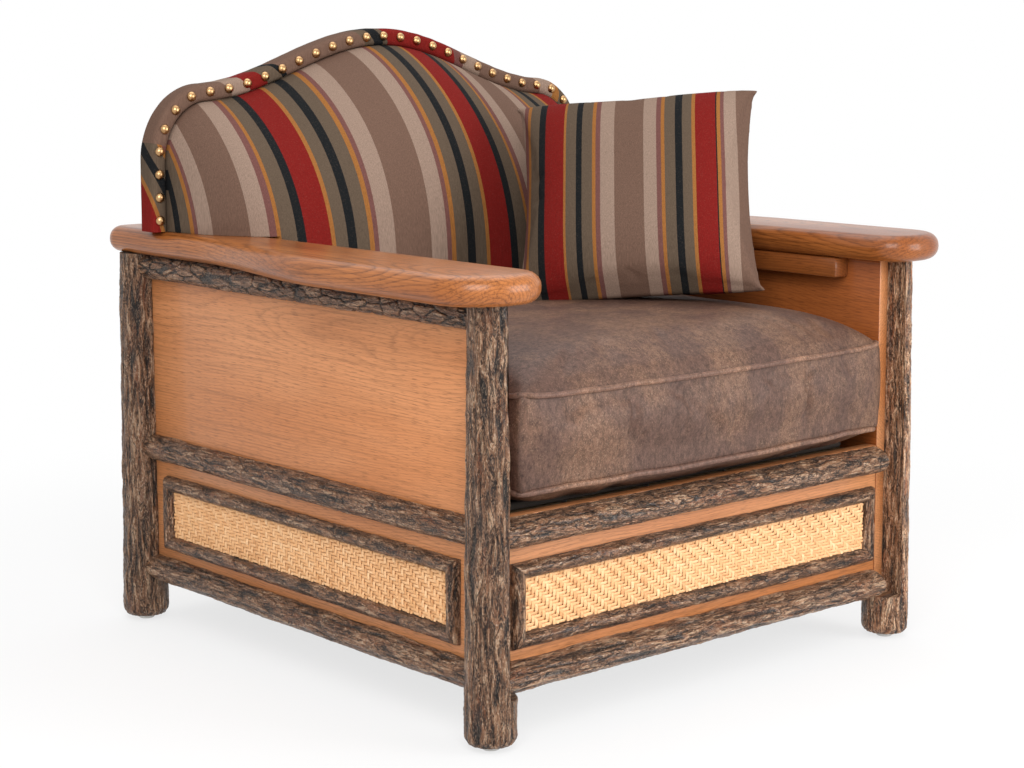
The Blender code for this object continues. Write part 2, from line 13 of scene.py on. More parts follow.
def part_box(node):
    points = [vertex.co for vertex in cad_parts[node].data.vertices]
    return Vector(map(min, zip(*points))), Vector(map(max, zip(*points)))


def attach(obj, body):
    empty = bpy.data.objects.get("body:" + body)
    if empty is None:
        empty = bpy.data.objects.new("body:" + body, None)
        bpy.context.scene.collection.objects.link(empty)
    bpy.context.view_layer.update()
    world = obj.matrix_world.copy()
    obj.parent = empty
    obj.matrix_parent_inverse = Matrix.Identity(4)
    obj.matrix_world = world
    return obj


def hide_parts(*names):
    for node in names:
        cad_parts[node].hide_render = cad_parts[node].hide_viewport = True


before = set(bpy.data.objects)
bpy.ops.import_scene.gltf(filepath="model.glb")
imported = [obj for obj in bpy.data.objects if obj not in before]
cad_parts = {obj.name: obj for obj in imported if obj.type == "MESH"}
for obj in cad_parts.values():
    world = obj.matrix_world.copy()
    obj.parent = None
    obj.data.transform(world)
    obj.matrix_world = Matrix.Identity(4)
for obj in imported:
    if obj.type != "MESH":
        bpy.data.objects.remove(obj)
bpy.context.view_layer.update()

# Clearance between pieces that touch
GAP = 0.0003

# Bodies of the frame
CHAIR = "chair_frame"
CUSHION = "seat_cushion"
PILLOW = "throw_pillow"

# Corners and woven faces of the chair
CORNERS = ("front_left", "front_right", "rear_left", "rear_right")
UP = Vector((0, 0, 1))
WOVEN_FACES = {"front": Vector((0, -1, 0)), "left": Vector((-1, 0, 0)), "right": Vector((1, 0, 0))}

# Places taken from the frame
PANEL_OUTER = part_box("side_panel_right")[1].x
PANEL_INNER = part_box("side_panel_right")[0].x
ARM_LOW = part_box("arm_right")[0]
ARM_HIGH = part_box("arm_right")[1]
ARM_TOP = ARM_HIGH.z
ARM_INNER = ARM_LOW.x
DECK_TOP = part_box("seat_deck")[1].z

# Logs
POST_HEAD_R = 0.0280
POST_FOOT_CHAMFER = 0.006
FOOT_HEIGHT = 0.065
LOG_END_ROUND = 0.010
LOG_SWELL = 0.0012
RAIL_TUCK = 0.001
SHORT_MOULDING = 0.1
# How deep the bark is, and the height on it that lies on the log's surface
POST_BARK = 0.0046
RAIL_BARK = 0.0040
LOG_BARK = 0.0042
MOULDING_BARK = 0.0028
BARK_MIDDLE = 0.52
# How much of the bark is plates, the rest being ridges
POST_PLATES = 0.12
MOULDING_PLATES = 0.35
RAIL_PLATES = (("top", 0.85), ("mid", 0.30), ("bottom", 0.20))
LOG_PLATES = (("top", 0.45), ("bottom", 0.15))
# Faces round a log and along it
POST_SIDES, POST_RINGS = 110, 300
LOG_SIDES, LOG_RINGS = 96, 330
MOULDING_SIDES, SHORT_MOULDING_RINGS = 44, 60
# Painted light and shade: how much lighter or darker each log's bark is painted than the rest, for how the
# lamps fall on it
LOG_PAINTED_LIGHT = {
    "post_front_left": 0.87,
    "post_front_right": 1.55,
    "post_rear_left": 0.82,
    "front_top_log": 1.15,
    "front_bottom_log": 1.10,
}

# Boards and glides
BOARD_EDGE = 0.0015
CLEAT_EDGE = 0.004
# How far past the panels' inside faces the painted shade on them reaches
PAINTED_SHADE_INSET = 0.0008
GLIDE_TAPER = 0.92
GLIDE_EDGE = 0.002

# Arms
ARM_WIDTH_REAR = 0.090
ARM_FLARE_START_Y = 0.210
ARM_FLARE_LENGTH = 0.350
ARM_FRONT_INNER_R = 0.055
ARM_FRONT_OUTER_R = 0.078
ARM_REAR_R = 0.034
ARM_BULLNOSE = 0.0180

# Cane strands
STRAND_PITCH_X = 0.0060
STRAND_PITCH_Z = 0.0046
STRAND_SHARE = 0.86
STRAND_T = 0.0016
STRAND_RISE = 0.0010

# Back
BACK_FRONT_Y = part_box("back_border")[0].y
BORDER_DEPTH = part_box("back_border")[1].y - BACK_FRONT_Y
NAIL_HALF_WIDTH = 0.409
SHOULDER_X = 0.322
SHOULDER_Z = 0.796
HUMP_H = 0.081
HUMP_REACH = 0.340
CORNER_DROP = 0.100
BORDER_OUT = 0.012
BORDER_IN = 0.014
BORDER_ROUND = 0.009
BORDER_PUCKER = 0.0006
PAD_RIM_Y = 0.306
PAD_RIM_T = 0.008
PAD_CROWN = 0.200
PAD_CROWN_REACH = 0.330
PAD_CROWN_POWER = 2.6
PAD_CROWN_ONSET = 0.8
PAD_TUCK = 0.050
PAD_SIDE_REACH = 0.120
PAD_ROW_POWER = 1.7
TONGUE_GAP = 0.004
OUTSIDE_CROWN = 0.004
OUTSIDE_REACH = 0.05
NAIL_COUNT = 35
NAIL_R = 0.0074
NAIL_PROUD = 0.0060
NAIL_BACK = 0.15
PIECED_FROM_NAIL = 3.35

# Seat cushion
CUSHION_BOXING = 0.123
CUSHION_CROWN_TOP = 0.050
CUSHION_CROWN_UNDER = 0.026
CUSHION_FRONT_BULGE = 0.018
CUSHION_SIDE_BULGE = 0.004
CUSHION_LOW, CUSHION_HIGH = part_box("seat_cushion")
CUSHION_HALF_W = CUSHION_HIGH.x - CUSHION_SIDE_BULGE
CUSHION_DEPTH = CUSHION_HIGH.y - CUSHION_LOW.y - CUSHION_FRONT_BULGE
CUSHION_Y = CUSHION_HIGH.y - CUSHION_DEPTH / 2
CUSHION_Z = CUSHION_LOW.z + CUSHION_CROWN_UNDER + CUSHION_BOXING / 2
WELT_R = 0.0038
WELT_PROUD = 0.55

# Swelling of the loose pieces
SWELL_PRESSURE = 4.0
SWELL_FRAMES = 20
CUSHION_VOXEL, CUSHION_CAP = 0.006, 0.008
PILLOW_VOXEL, PILLOW_CAP = 0.0045, 0.006

# Under the seat
DECK_EDGE = 0.0045
DUST_T = 0.0006
DUST_INSET = 0.0008
DUST_SAG = 0.0015
DUST_RIPPLE = 0.0004

# Pillow
PILLOW_W = 0.372
PILLOW_H = 0.350
PILLOW_T = 0.126
PILLOW_EDGE_T = 0.004
PILLOW_SIDE_PULL = 0.080
PILLOW_TOP_PULL = 0.035
PILLOW_TURN = math.radians(-50.5)
PILLOW_LEAN = math.radians(32.7)
PILLOW_ROLL = math.radians(4.8)

# Stripes of the cloth, from the middle of one brown stripe to the middle of the next
STRIPES = (
    ("brown", 82),
    ("taupe", 76),
    ("mauve", 23),
    ("orange", 21),
    ("olive", 57),
    ("black", 37),
    ("olive", 57),
    ("orange", 16),
    ("red", 110),
    ("black", 36),
    ("olive", 60),
    ("orange", 16),
    ("mauve", 28),
    ("taupe", 72),
    ("brown", 82),
)
STRIPE_COLOURS = {
    "brown": (0.138, 0.080, 0.057),
    "taupe": (0.262, 0.181, 0.138),
    "mauve": (0.140, 0.058, 0.050),
    "orange": (0.270, 0.108, 0.028),
    "olive": (0.098, 0.069, 0.047),
    "black": (0.008, 0.009, 0.010),
    "red": (0.165, 0.0095, 0.0075),
}
PAD_STRIPE_UNIT = 0.000372
PAD_STRIPE_MIDDLE = -0.100
PAD_STRIPE_SPREAD = 0.33
PAD_STRIPE_LEVEL = 0.12
PILLOW_STRIPE_UNIT = 0.000264
PILLOW_STRIPE_MIDDLE = -0.004
# The pillow's stripes from left to right: its cloth is joined right of the second red stripe
PILLOW_STRIPES = STRIPES[::-1] + STRIPES[:9] + (
    ("black", 12),
    ("orange", 14),
    ("mauve", 22),
    ("taupe", 68),
    ("brown", 300),
)
PILLOW_STRIPE_START = PILLOW_STRIPE_MIDDLE - PILLOW_STRIPE_UNIT * sum(width for _, width in STRIPES)

# Stripes of the border's own cloth, from the left end of the nail line, in spaces between nails
BORDER_STRIPES = (
    ("brown", 8.4),
    ("taupe", 1.0),
    ("red", 0.9),
    ("olive", 0.8),
    ("black", 0.4),
    ("brown", 4.7),
    ("olive", 0.5),
    ("black", 0.6),
    ("olive", 0.3),
    ("red", 4.2),
    ("mauve", 0.6),
    ("taupe", 1.1),
    ("brown", 4.0),
    ("taupe", 1.0),
    ("orange", 0.5),
    ("olive", 6.5),
)


def clamp(value, low=0.0, high=1.0):
    return min(max(value, low), high)


def smooth_step(share):
    share = clamp(share)
    return share * share * (3 - 2 * share)


# Finishes
class Finish:
    """A material and short calls for the nodes that make it."""

    def __init__(self, name):
        self.material = bpy.data.materials.new(name)
        self.material.use_nodes = True
        self.nodes = self.material.node_tree.nodes
        self.links = self.material.node_tree.links
        self.shader = self.nodes["Principled BSDF"]

    def feed(self, socket, value):
        if isinstance(value, bpy.types.NodeSocket):
            self.links.new(value, socket)
        else:
            socket.default_value = value

    def node(self, kind, inputs, output=0, **settings):
        made = self.nodes.new("ShaderNode" + kind)
        for key, value in settings.items():
            setattr(made, key, value)
        for key, value in inputs.items():
            self.feed(made.inputs[key], value)
        return made.outputs[output]

    def place(self, scale=(1, 1, 1), shift=(0, 0, 0), source=None):
        if source is None:
            source = self.node("TexCoord", {}, "Object")
        return self.node("Mapping", {"Vector": source, "Scale": scale, "Location": shift})

    def attribute(self, name, output):
        return self.node("Attribute", {}, output, attribute_name=name)

    def sum(self, operation, first, second=0.0, third=0.0):
        return self.node("Math", {0: first, 1: second, 2: third}, operation=operation)

    def plus(self, first, second):
        return self.sum("ADD", first, second)

    def minus(self, first, second):
        return self.sum("SUBTRACT", first, second)

    def times(self, first, second):
        return self.sum("MULTIPLY", first, second)

    def noise(self, vector, scale=1.0, detail=3.0, roughness=0.5, distortion=0.0):
        inputs = {
            "Vector": vector,
            "Scale": scale,
            "Detail": detail,
            "Roughness": roughness,
            "Distortion": distortion,
        }
        return self.node("TexNoise", inputs, "Fac")

    def ramp(self, value, stops, interpolation="LINEAR"):
        made = self.nodes.new("ShaderNodeValToRGB")
        made.color_ramp.interpolation = interpolation
        elements = made.color_ramp.elements
        while len(elements) < len(stops):
            elements.new(1.0)
        for element, (position, colour) in zip(elements, stops):
            element.position = position
            element.color = (*colour, 1.0)
        self.feed(made.inputs[0], value)
        return made.outputs[0]

    def steps(self, value, low, high):
        """0 below low, 1 above high."""
        inputs = {"Value": value, "From Min": low, "From Max": high}
        return self.node("MapRange", inputs, interpolation_type="SMOOTHSTEP")

    def spread(self, value, low, high, start=0.0, end=1.0):
        """low where a value is start, high where it is end."""
        inputs = {"Value": value, "From Min": start, "From Max": end, "To Min": low, "To Max": high}
        return self.node("MapRange", inputs)

    def mix(self, share, first, second, blend="MIX"):
        made = self.nodes.new("ShaderNodeMix")
        made.data_type = "RGBA"
        made.blend_type = blend
        for index, value in ((0, share), (6, first), (7, second)):
            if isinstance(value, tuple):
                value = (*value, 1.0)
            self.feed(made.inputs[index], value)
        return made.outputs[2]

    def over(self, share, strength, colour, layer):
        """A colour with a layer over it, as far as the share and its strength let it show."""
        return self.mix(self.times(share, strength), colour, layer)

    def shaded(self, colour, shade):
        """A colour made darker or lighter by a factor."""
        return self.mix(1.0, colour, self.node("CombineColor", {0: shade, 1: shade, 2: shade}), "MULTIPLY")

    def bump(self, height, strength, distance):
        return self.node("Bump", {"Height": height, "Strength": strength, "Distance": distance})

    def finish(self, colour, roughness, normal=None, **sockets):
        self.feed(self.shader.inputs["Base Color"], colour)
        self.feed(self.shader.inputs["Roughness"], roughness)
        if normal is not None:
            self.feed(self.shader.inputs["Normal"], normal)
        for key, value in sockets.items():
            self.feed(self.shader.inputs[key.replace("_", " ")], value)
        return self.material


def bark_finish():
    """Lacquered bark: near-black creases, brown and russet flakes, crooked ridges along the log, with painted
    glints on its high flakes and painted highlights beside its creases.
    """
    finish = Finish("bark")
    relief = finish.attribute("relief", "Fac")
    grain = finish.attribute("grain", "Vector")
    along = finish.place((1, 1, 0.20), source=grain)
    flake = finish.noise(along, 340.0, 5.0, 0.70, 0.8)
    patch = finish.noise(along, 60.0, 4.0, 0.6)
    fleck = finish.noise(finish.place((1, 1, 0.45), source=grain), 680.0, 3.0, 0.65)
    vein = finish.sum("ABSOLUTE", finish.minus(finish.noise(along, 120.0, 3.0, 0.6, 1.8), 0.5))
    crease = finish.steps(vein, 0.0, 0.045)
    crest = finish.times(finish.steps(vein, 0.030, 0.060), finish.minus(1.0, finish.steps(vein, 0.07, 0.12)))
    rough = finish.minus(finish.plus(flake, finish.times(fleck, 0.6)), 0.8)
    bold = finish.sum("MULTIPLY_ADD", relief, 1.9, -0.42)
    level = finish.plus(bold, finish.times(rough, 1.1))
    colour = finish.ramp(
        level,
        (
            (0.10, (0.009, 0.0048, 0.0030)),
            (0.34, (0.054, 0.0225, 0.0100)),
            (0.58, (0.155, 0.066, 0.0280)),
            (0.84, (0.265, 0.128, 0.062)),
            (1.00, (0.420, 0.255, 0.150)),
        ),
    )
    russet = finish.times(finish.steps(patch, 0.50, 0.66), finish.steps(flake, 0.40, 0.60))
    colour = finish.over(russet, 0.75, colour, (0.200, 0.056, 0.016))
    ash = finish.steps(finish.noise(along, 42.0, 3.0, 0.55), 0.54, 0.68)
    colour = finish.over(ash, 0.25, colour, (0.130, 0.108, 0.096))
    # Painted glints: pale specks on the highest flakes stand for the lacquer's highlights
    glint_specks = finish.times(finish.steps(level, 0.80, 1.06), finish.steps(fleck, 0.55, 0.64))
    colour = finish.over(glint_specks, 0.80, colour, (0.58, 0.44, 0.32))
    # Painted highlight: pale lines along the ridges beside the creases, where light catches them
    crest = finish.times(crest, finish.steps(fleck, 0.44, 0.60))
    colour = finish.over(crest, 0.40, colour, (0.54, 0.38, 0.26))
    dark = finish.times(finish.minus(1.0, crease), 0.85)
    colour = finish.mix(dark, colour, (0.009, 0.005, 0.0035))
    # Painted light and shade: the tone attribute makes each log's bark lighter or darker for how the lamps
    # fall on it
    tone = finish.attribute("tone", "Fac")
    colour = finish.shaded(colour, tone)
    roughness = finish.spread(fleck, 0.26, 0.56)
    height = finish.plus(flake, finish.times(fleck, 0.7))
    height = finish.plus(height, finish.times(crease, 0.5))
    normal = finish.bump(height, 1.0, 0.0030)
    return finish.finish(
        colour, roughness, normal, Specular_IOR_Level=0.35, Coat_Weight=0.24, Coat_Roughness=0.16
    )


def oak_finish(
    name, along, heart, taper, light, deep, gloss, rings=0.55, coat=0.18, inner=None, streaks=0.36
):
    """Flat-sawn oak: growth rings round a heart that lies beside the board, long sway, dark pores.

    along is the grain's axis, heart the rings' middle on the other two. Faces nearer the middle in X than
    inner get painted shade, for the shade on the chair's inside faces. rings and streaks are the strength of
    the dark lines.
    """
    finish = Finish(name)
    split = finish.nodes.new("ShaderNodeSeparateXYZ")
    finish.feed(split.inputs[0], finish.place())
    axis = {letter: split.outputs[letter] for letter in "XYZ"}
    across, through = [letter for letter in "XYZ" if letter != along]

    def stretched(lengthwise, crosswise, detail, roughness, shift=(0, 0, 0)):
        scale = tuple(lengthwise if letter == along else crosswise for letter in "XYZ")
        return finish.noise(finish.place(scale, shift=shift), 1.0, detail, roughness)

    sway = finish.minus(stretched(1.9, 5.5, 2.0, 0.5), 0.5)
    lift = finish.minus(stretched(1.5, 4.4, 2.0, 0.5, (3.1, 1.7, 5.3)), 0.5)
    side = finish.plus(finish.minus(axis[across], heart[0]), finish.times(sway, 0.075))
    depth = finish.plus(finish.minus(axis[through], heart[1]), finish.times(lift, 0.10))
    depth = finish.plus(depth, finish.times(axis[along], taper))
    radius = finish.sum("SQRT", finish.sum("MULTIPLY_ADD", side, side, finish.times(depth, depth)))
    fibre = stretched(16.0, 560.0, 3.0, 0.6)
    wander = finish.times(finish.minus(fibre, 0.5), 0.60)
    phase = finish.sum("FRACT", finish.plus(finish.sum("DIVIDE", radius, 0.0040), wander))
    greys = ((0.0, 0.95), (0.10, 0.62), (0.30, 0.14), (0.80, 0.0), (1.0, 0.30))
    ring_line = finish.ramp(phase, [(at, (grey,) * 3) for at, grey in greys])
    strength = finish.spread(finish.noise(finish.place(), 9.0, 2.0, 0.5), 0.2, 1.1)
    streak = finish.steps(stretched(3.5, 330.0, 4.0, 0.65), 0.44, 0.72)
    pore_mask = finish.steps(stretched(46.0, 950.0, 2.0, 0.5), 0.54, 0.68)
    colour = finish.mix(finish.steps(stretched(2.2, 9.0, 2.0, 0.5), 0.30, 0.72), light, deep)
    dark = tuple(0.30 * c for c in deep)
    colour = finish.over(finish.times(ring_line, strength), rings, colour, dark)
    colour = finish.over(streak, streaks, colour, dark)
    colour = finish.over(pore_mask, 0.50, colour, dark)
    # Painted shade: faces nearer the middle than inner are darkened, for the shade inside the chair
    if inner is not None:
        inside = finish.sum("LESS_THAN", finish.sum("ABSOLUTE", axis["X"]), inner)
        colour = finish.mix(inside, colour, finish.mix(1.0, colour, (0.54, 0.36, 0.20), "MULTIPLY"))
    roughness = finish.spread(fibre, gloss, gloss + 0.14)
    height = finish.minus(1.0, finish.sum("MAXIMUM", finish.times(ring_line, 0.5), pore_mask))
    normal = finish.bump(height, 0.12, 0.0006)
    return finish.finish(
        colour, roughness, normal, Specular_IOR_Level=0.30, Coat_Weight=coat, Coat_Roughness=0.12
    )


def cane_finish():
    """Split cane: pale straw, each strand with its own tone and fine long fibres."""
    finish = Finish("cane")
    tone = finish.attribute("tone", "Fac")
    grain = finish.attribute("grain", "Vector")
    fibre = finish.noise(finish.place((900, 900, 40), source=grain), 1.0, 2.0, 0.5)
    stain = finish.noise(finish.place(), 38.0, 3.0, 0.6)
    tones = ((0.0, (0.52, 0.22, 0.07)), (0.45, (0.83, 0.45, 0.20)), (1.0, (0.95, 0.64, 0.36)))
    colour = finish.ramp(tone, tones)
    colour = finish.over(finish.steps(fibre, 0.50, 0.72), 0.35, colour, (0.55, 0.28, 0.11))
    colour = finish.over(finish.steps(stain, 0.58, 0.75), 0.35, colour, (0.60, 0.30, 0.10))
    return finish.finish(colour, 0.48, finish.bump(fibre, 0.25, 0.0003))


def striped_finish(name, across, stripes, middle, unit):
    """Woven striped cloth. across is a socket with the place across the stripes, in metres."""
    finish = Finish(name)
    source = across(finish)
    total = sum(width for _, width in stripes)
    shifted = finish.minus(source, middle)
    yarn = finish.noise(finish.place((1, 1, 1)), 1500.0, 1.0, 0.5)
    ragged = finish.times(finish.minus(yarn, 0.5), 0.0010)
    outwards = finish.sum("ABSOLUTE", finish.plus(shifted, ragged))
    share = finish.sum("FRACT", finish.sum("DIVIDE", outwards, total * unit))
    stops = []
    start = 0
    for colour_name, width in stripes:
        stops.append((start / total, STRIPE_COLOURS[colour_name]))
        start += width
    colour = finish.ramp(share, stops, "CONSTANT")
    slub = finish.noise(finish.place((900, 900, 70)), 1.0, 3.0, 0.65)
    weave = finish.noise(finish.place((420, 420, 1500)), 1.0, 2.0, 0.5)
    shade = finish.spread(slub, 0.72, 1.28, 0.25, 0.75)
    colour = finish.shaded(colour, shade)
    fleck = finish.times(finish.steps(weave, 0.58, 0.72), 0.08)
    colour = finish.mix(fleck, colour, (0.42, 0.30, 0.22))
    height = finish.plus(slub, weave)
    return finish.finish(colour, 0.92, finish.bump(height, 0.35, 0.0006), Specular_IOR_Level=0.10)


def leather_finish(name, lift):
    """Distressed brown leather: paler rubbed patches in a grey-brown finish, fine grain. lift lightens it."""
    finish = Finish(name)
    cloud = finish.noise(finish.place((1, 1, 0.55)), 13.0, 5.0, 0.62)
    rub = finish.noise(finish.place((1, 1, 0.6)), 150.0, 6.0, 0.80)
    speck = finish.noise(finish.place((1, 1, 0.7)), 560.0, 3.0, 0.7)
    golden = finish.steps(cloud, 0.40, 0.66)
    colour = finish.mix(
        golden,
        tuple(lift * c for c in (0.098, 0.052, 0.038)),
        tuple(lift * c for c in (0.152, 0.080, 0.050)),
    )
    shade = finish.spread(rub, 0.36, 1.56, 0.30, 0.70)
    colour = finish.shaded(colour, shade)
    pale = finish.spread(golden, 0.14, 0.48)
    pale = finish.times(finish.steps(speck, 0.52, 0.70), pale)
    colour = finish.mix(pale, colour, tuple(lift * c for c in (0.43, 0.275, 0.185)))
    dark_speck = finish.minus(1.0, finish.steps(speck, 0.30, 0.46))
    colour = finish.over(dark_speck, 0.50, colour, (0.024, 0.013, 0.009))
    pebble = finish.node("TexVoronoi", {"Vector": finish.place(), "Scale": 620.0}, "Distance")
    height = finish.plus(finish.times(pebble, 0.6), finish.times(rub, 0.8))
    roughness = finish.spread(rub, 0.62, 0.42)
    return finish.finish(colour, roughness, finish.bump(height, 0.25, 0.0008), Specular_IOR_Level=0.25)


def metal_finish(name, colour, roughness, patina):
    finish = Finish(name)
    cloud = finish.noise(finish.place(), 130.0, 3.0, 0.6)
    tone = finish.mix(finish.times(finish.steps(cloud, 0.45, 0.75), 0.5), colour, patina)
    rough = finish.spread(cloud, roughness, roughness + 0.18)
    return finish.finish(tone, rough, Metallic=1.0)


def plain_cloth_finish(name, colour):
    finish = Finish(name)
    weave = finish.noise(finish.place((700, 700, 700)), 1.0, 2.0, 0.6)
    tone = finish.over(weave, 0.6, colour, tuple(0.45 * c for c in colour))
    return finish.finish(tone, 0.95, finish.bump(weave, 0.3, 0.0005))


def object_axis(letter):
    def across(finish):
        split = finish.nodes.new("ShaderNodeSeparateXYZ")
        finish.feed(split.inputs[0], finish.place())
        return split.outputs[letter]

    return across


def attribute_across(finish):
    return finish.attribute("across", "Fac")


# Making pieces
def link_object(name, data):
    made = bpy.data.objects.new(name, data)
    bpy.context.scene.collection.objects.link(made)
    return made


def new_piece(name, shape, material, body, nodes=(), sharp=math.radians(35)):
    """Make a piece from a bmesh in the row frame, on its body, in place of its nodes."""
    mesh = bpy.data.meshes.new(name)
    shape.to_mesh(mesh)
    shape.free()
    mesh.materials.append(material)
    mesh.shade_smooth()
    mesh.set_sharp_from_angle(angle=sharp)
    piece = link_object(name, mesh)
    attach(piece, body)
    if nodes:
        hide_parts(*nodes)
    return piece


def soft_bevel(shape, edges, width, segments):
    bmesh.ops.bevel(
        shape,
        geom=edges,
        offset=width,
        offset_type="OFFSET",
        segments=segments,
        profile=0.5,
        affect="EDGES",
        material=-1,
        clamp_overlap=True,
    )


def node_block(node, edge, segments):
    """A box in a node's place, its edges softened."""
    low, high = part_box(node)
    shape = bmesh.new()
    bmesh.ops.create_cube(shape, size=1.0)
    bmesh.ops.scale(shape, vec=high - low, verts=shape.verts)
    bmesh.ops.translate(shape, vec=(low + high) / 2, verts=shape.verts)
    soft_bevel(shape, shape.edges[:], edge, segments)
    return shape


def level_edges(shape):
    return [edge for edge in shape.edges if abs(edge.verts[0].co.z - edge.verts[1].co.z) < 1e-6]


def extruded_verts(shape):
    """Extrude every face, and give the points of the new side."""
    made = bmesh.ops.extrude_face_region(shape, geom=shape.faces[:], use_keep_orig=True)
    return [item for item in made["geom"] if isinstance(item, bmesh.types.BMVert)]


def dress_node(node, material):
    """Give a node of the frame its finish."""
    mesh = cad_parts[node].data
    mesh.materials.clear()
    mesh.materials.append(material)


# Logs
def ridge_bark(place):
    """Long interlaced ridges: 0 at the bottom of a furrow, 1 on a ridge."""
    sway = 0.004 * noise.noise((place.x * 60, place.y * 60, place.z * 18))
    x, y, z = place.x + sway, place.y - sway, place.z
    ridge = 1 - 2.2 * abs(noise.noise((x * 140, y * 140, z * 14)))
    strand = noise.noise((x * 340, y * 340, z * 36))
    crumb = noise.noise((x * 800, y * 800, z * 300))
    return clamp(0.40 + 0.36 * ridge + 0.30 * strand + 0.14 * crumb)


def plate_bark(place):
    """Plates with cracks between them: 0 in a crack, 1 on a high plate."""
    wobble = 0.35 * noise.noise((place.x * 50, place.y * 50, place.z * 50))
    distances, points = noise.voronoi((place.x * 75 + wobble, place.y * 75 - wobble, place.z * 24 + wobble))
    crack = min(1.0, 8.0 * (distances[1] - distances[0]))
    lift = noise.noise(points[0] * 3.1)
    strand = noise.noise((place.x * 300, place.y * 300, place.z * 45))
    crumb = noise.noise((place.x * 800, place.y * 800, place.z * 400))
    return clamp(crack * (0.64 + 0.20 * lift + 0.26 * strand) + 0.10 * crumb)


def unit_log(sides, rings, half):
    """A log along Z, of radius and length 1. A half-log keeps the side towards -Y."""
    shape = bmesh.new()
    bmesh.ops.create_cone(shape, cap_ends=True, segments=sides, radius1=1, radius2=1, depth=1)
    if half:
        geometry = shape.verts[:] + shape.edges[:] + shape.faces[:]
        cut = bmesh.ops.bisect_plane(
            shape, geom=geometry, dist=1e-5, plane_co=(0, 0, 0), plane_no=(0, 1, 0), clear_outer=True
        )
        rim = [item for item in cut["geom_cut"] if isinstance(item, bmesh.types.BMEdge)]
        bmesh.ops.edgeloop_fill(shape, edges=rim)
    lengthwise = [edge for edge in shape.edges if abs(edge.verts[0].co.z - edge.verts[1].co.z) > 0.5]
    bmesh.ops.subdivide_edges(shape, edges=lengthwise, cuts=rings)
    bmesh.ops.recalc_face_normals(shape, faces=shape.faces)
    return shape


def bark_up(shape, form, depth, seed, plates, painted_light_factor):
    """Shape a unit log by form(unit place) -> (place, outward) and raise the bark on it."""
    relief = shape.verts.layers.float.new("relief")
    grain = shape.verts.layers.float_vector.new("grain")
    tone = shape.verts.layers.float.new("tone")
    offset = Vector((0.37 * seed, 0.23 * seed, 0.71 * seed))
    for vert in shape.verts:
        place, outward = form(vert.co)
        spot = place + offset
        height = (1 - plates) * ridge_bark(spot)
        if plates:
            height += plates * plate_bark(spot)
        swell = LOG_SWELL * noise.noise((spot.x * 18, spot.y * 18, spot.z * 9))
        vert[relief] = height
        # The tone layer carries the log's painted light and shade factor
        vert[tone] = painted_light_factor
        vert[grain] = spot
        vert.co = place + outward * (depth * (height - BARK_MIDDLE) + swell)


def make_posts(finish):
    for seed, corner in enumerate(CORNERS, 1):
        node = "post_" + corner
        low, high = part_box(node)
        sign = 1 if corner.endswith("right") else -1
        middle_y = (low.y + high.y) / 2
        foot_r = (high.y - low.y) / 2
        glide_low, glide_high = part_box("glide_" + corner)
        middle_x = (glide_low.x + glide_high.x) / 2
        height = high.z - low.z

        def form(unit):
            share = unit.z + 0.5
            radius = foot_r + (POST_HEAD_R - foot_r) * share
            z = share * height
            radius -= POST_FOOT_CHAMFER * (1 - clamp(z / (2 * POST_FOOT_CHAMFER))) ** 2
            return Vector((unit.x * radius, unit.y * radius, z)), Vector((unit.x, unit.y, 0))

        shape = unit_log(POST_SIDES, POST_RINGS, half=False)
        bark_up(shape, form, POST_BARK, seed, POST_PLATES, LOG_PAINTED_LIGHT.get(node, 1.0))
        split_x = sign * (PANEL_OUTER + GAP) - middle_x
        for vert in shape.verts:
            if vert.co.z > FOOT_HEIGHT - low.z and sign * vert.co.x < sign * split_x:
                vert.co.x = split_x
        bmesh.ops.translate(shape, vec=(middle_x, middle_y, low.z), verts=shape.verts)
        new_piece(node + "_bark", shape, finish, CHAIR, [node])


def half_log_piece(node, outward, along, finish, sides, rings, depth, seed, plates, half_length):
    """A bark half-log in a node's place. half_length(side, out) is its reach along the log."""
    low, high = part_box(node)
    across = outward.cross(along)
    size = high - low
    height = abs(size.dot(across))
    proud = abs(size.dot(outward))
    middle = (low + high) / 2 - outward * proud / 2

    def form(unit):
        side = unit.x * height / 2
        out = -unit.y * proud
        reach = half_length(side, out)
        place = Vector((side, out, 2 * unit.z * reach))
        end = clamp((1 - abs(2 * unit.z)) * reach / LOG_END_ROUND)
        return place, Vector((unit.x, -unit.y, 0)) * smooth_step(0.25 + end)

    shape = unit_log(sides, rings, half=True)
    bark_up(shape, form, depth, seed, plates, LOG_PAINTED_LIGHT.get(node, 1.0))
    turn = Matrix((across, outward, along)).transposed().to_4x4()
    bmesh.ops.transform(shape, matrix=Matrix.Translation(middle) @ turn, verts=shape.verts)
    bmesh.ops.recalc_face_normals(shape, faces=shape.faces)
    new_piece(node + "_bark", shape, finish, CHAIR, [node])


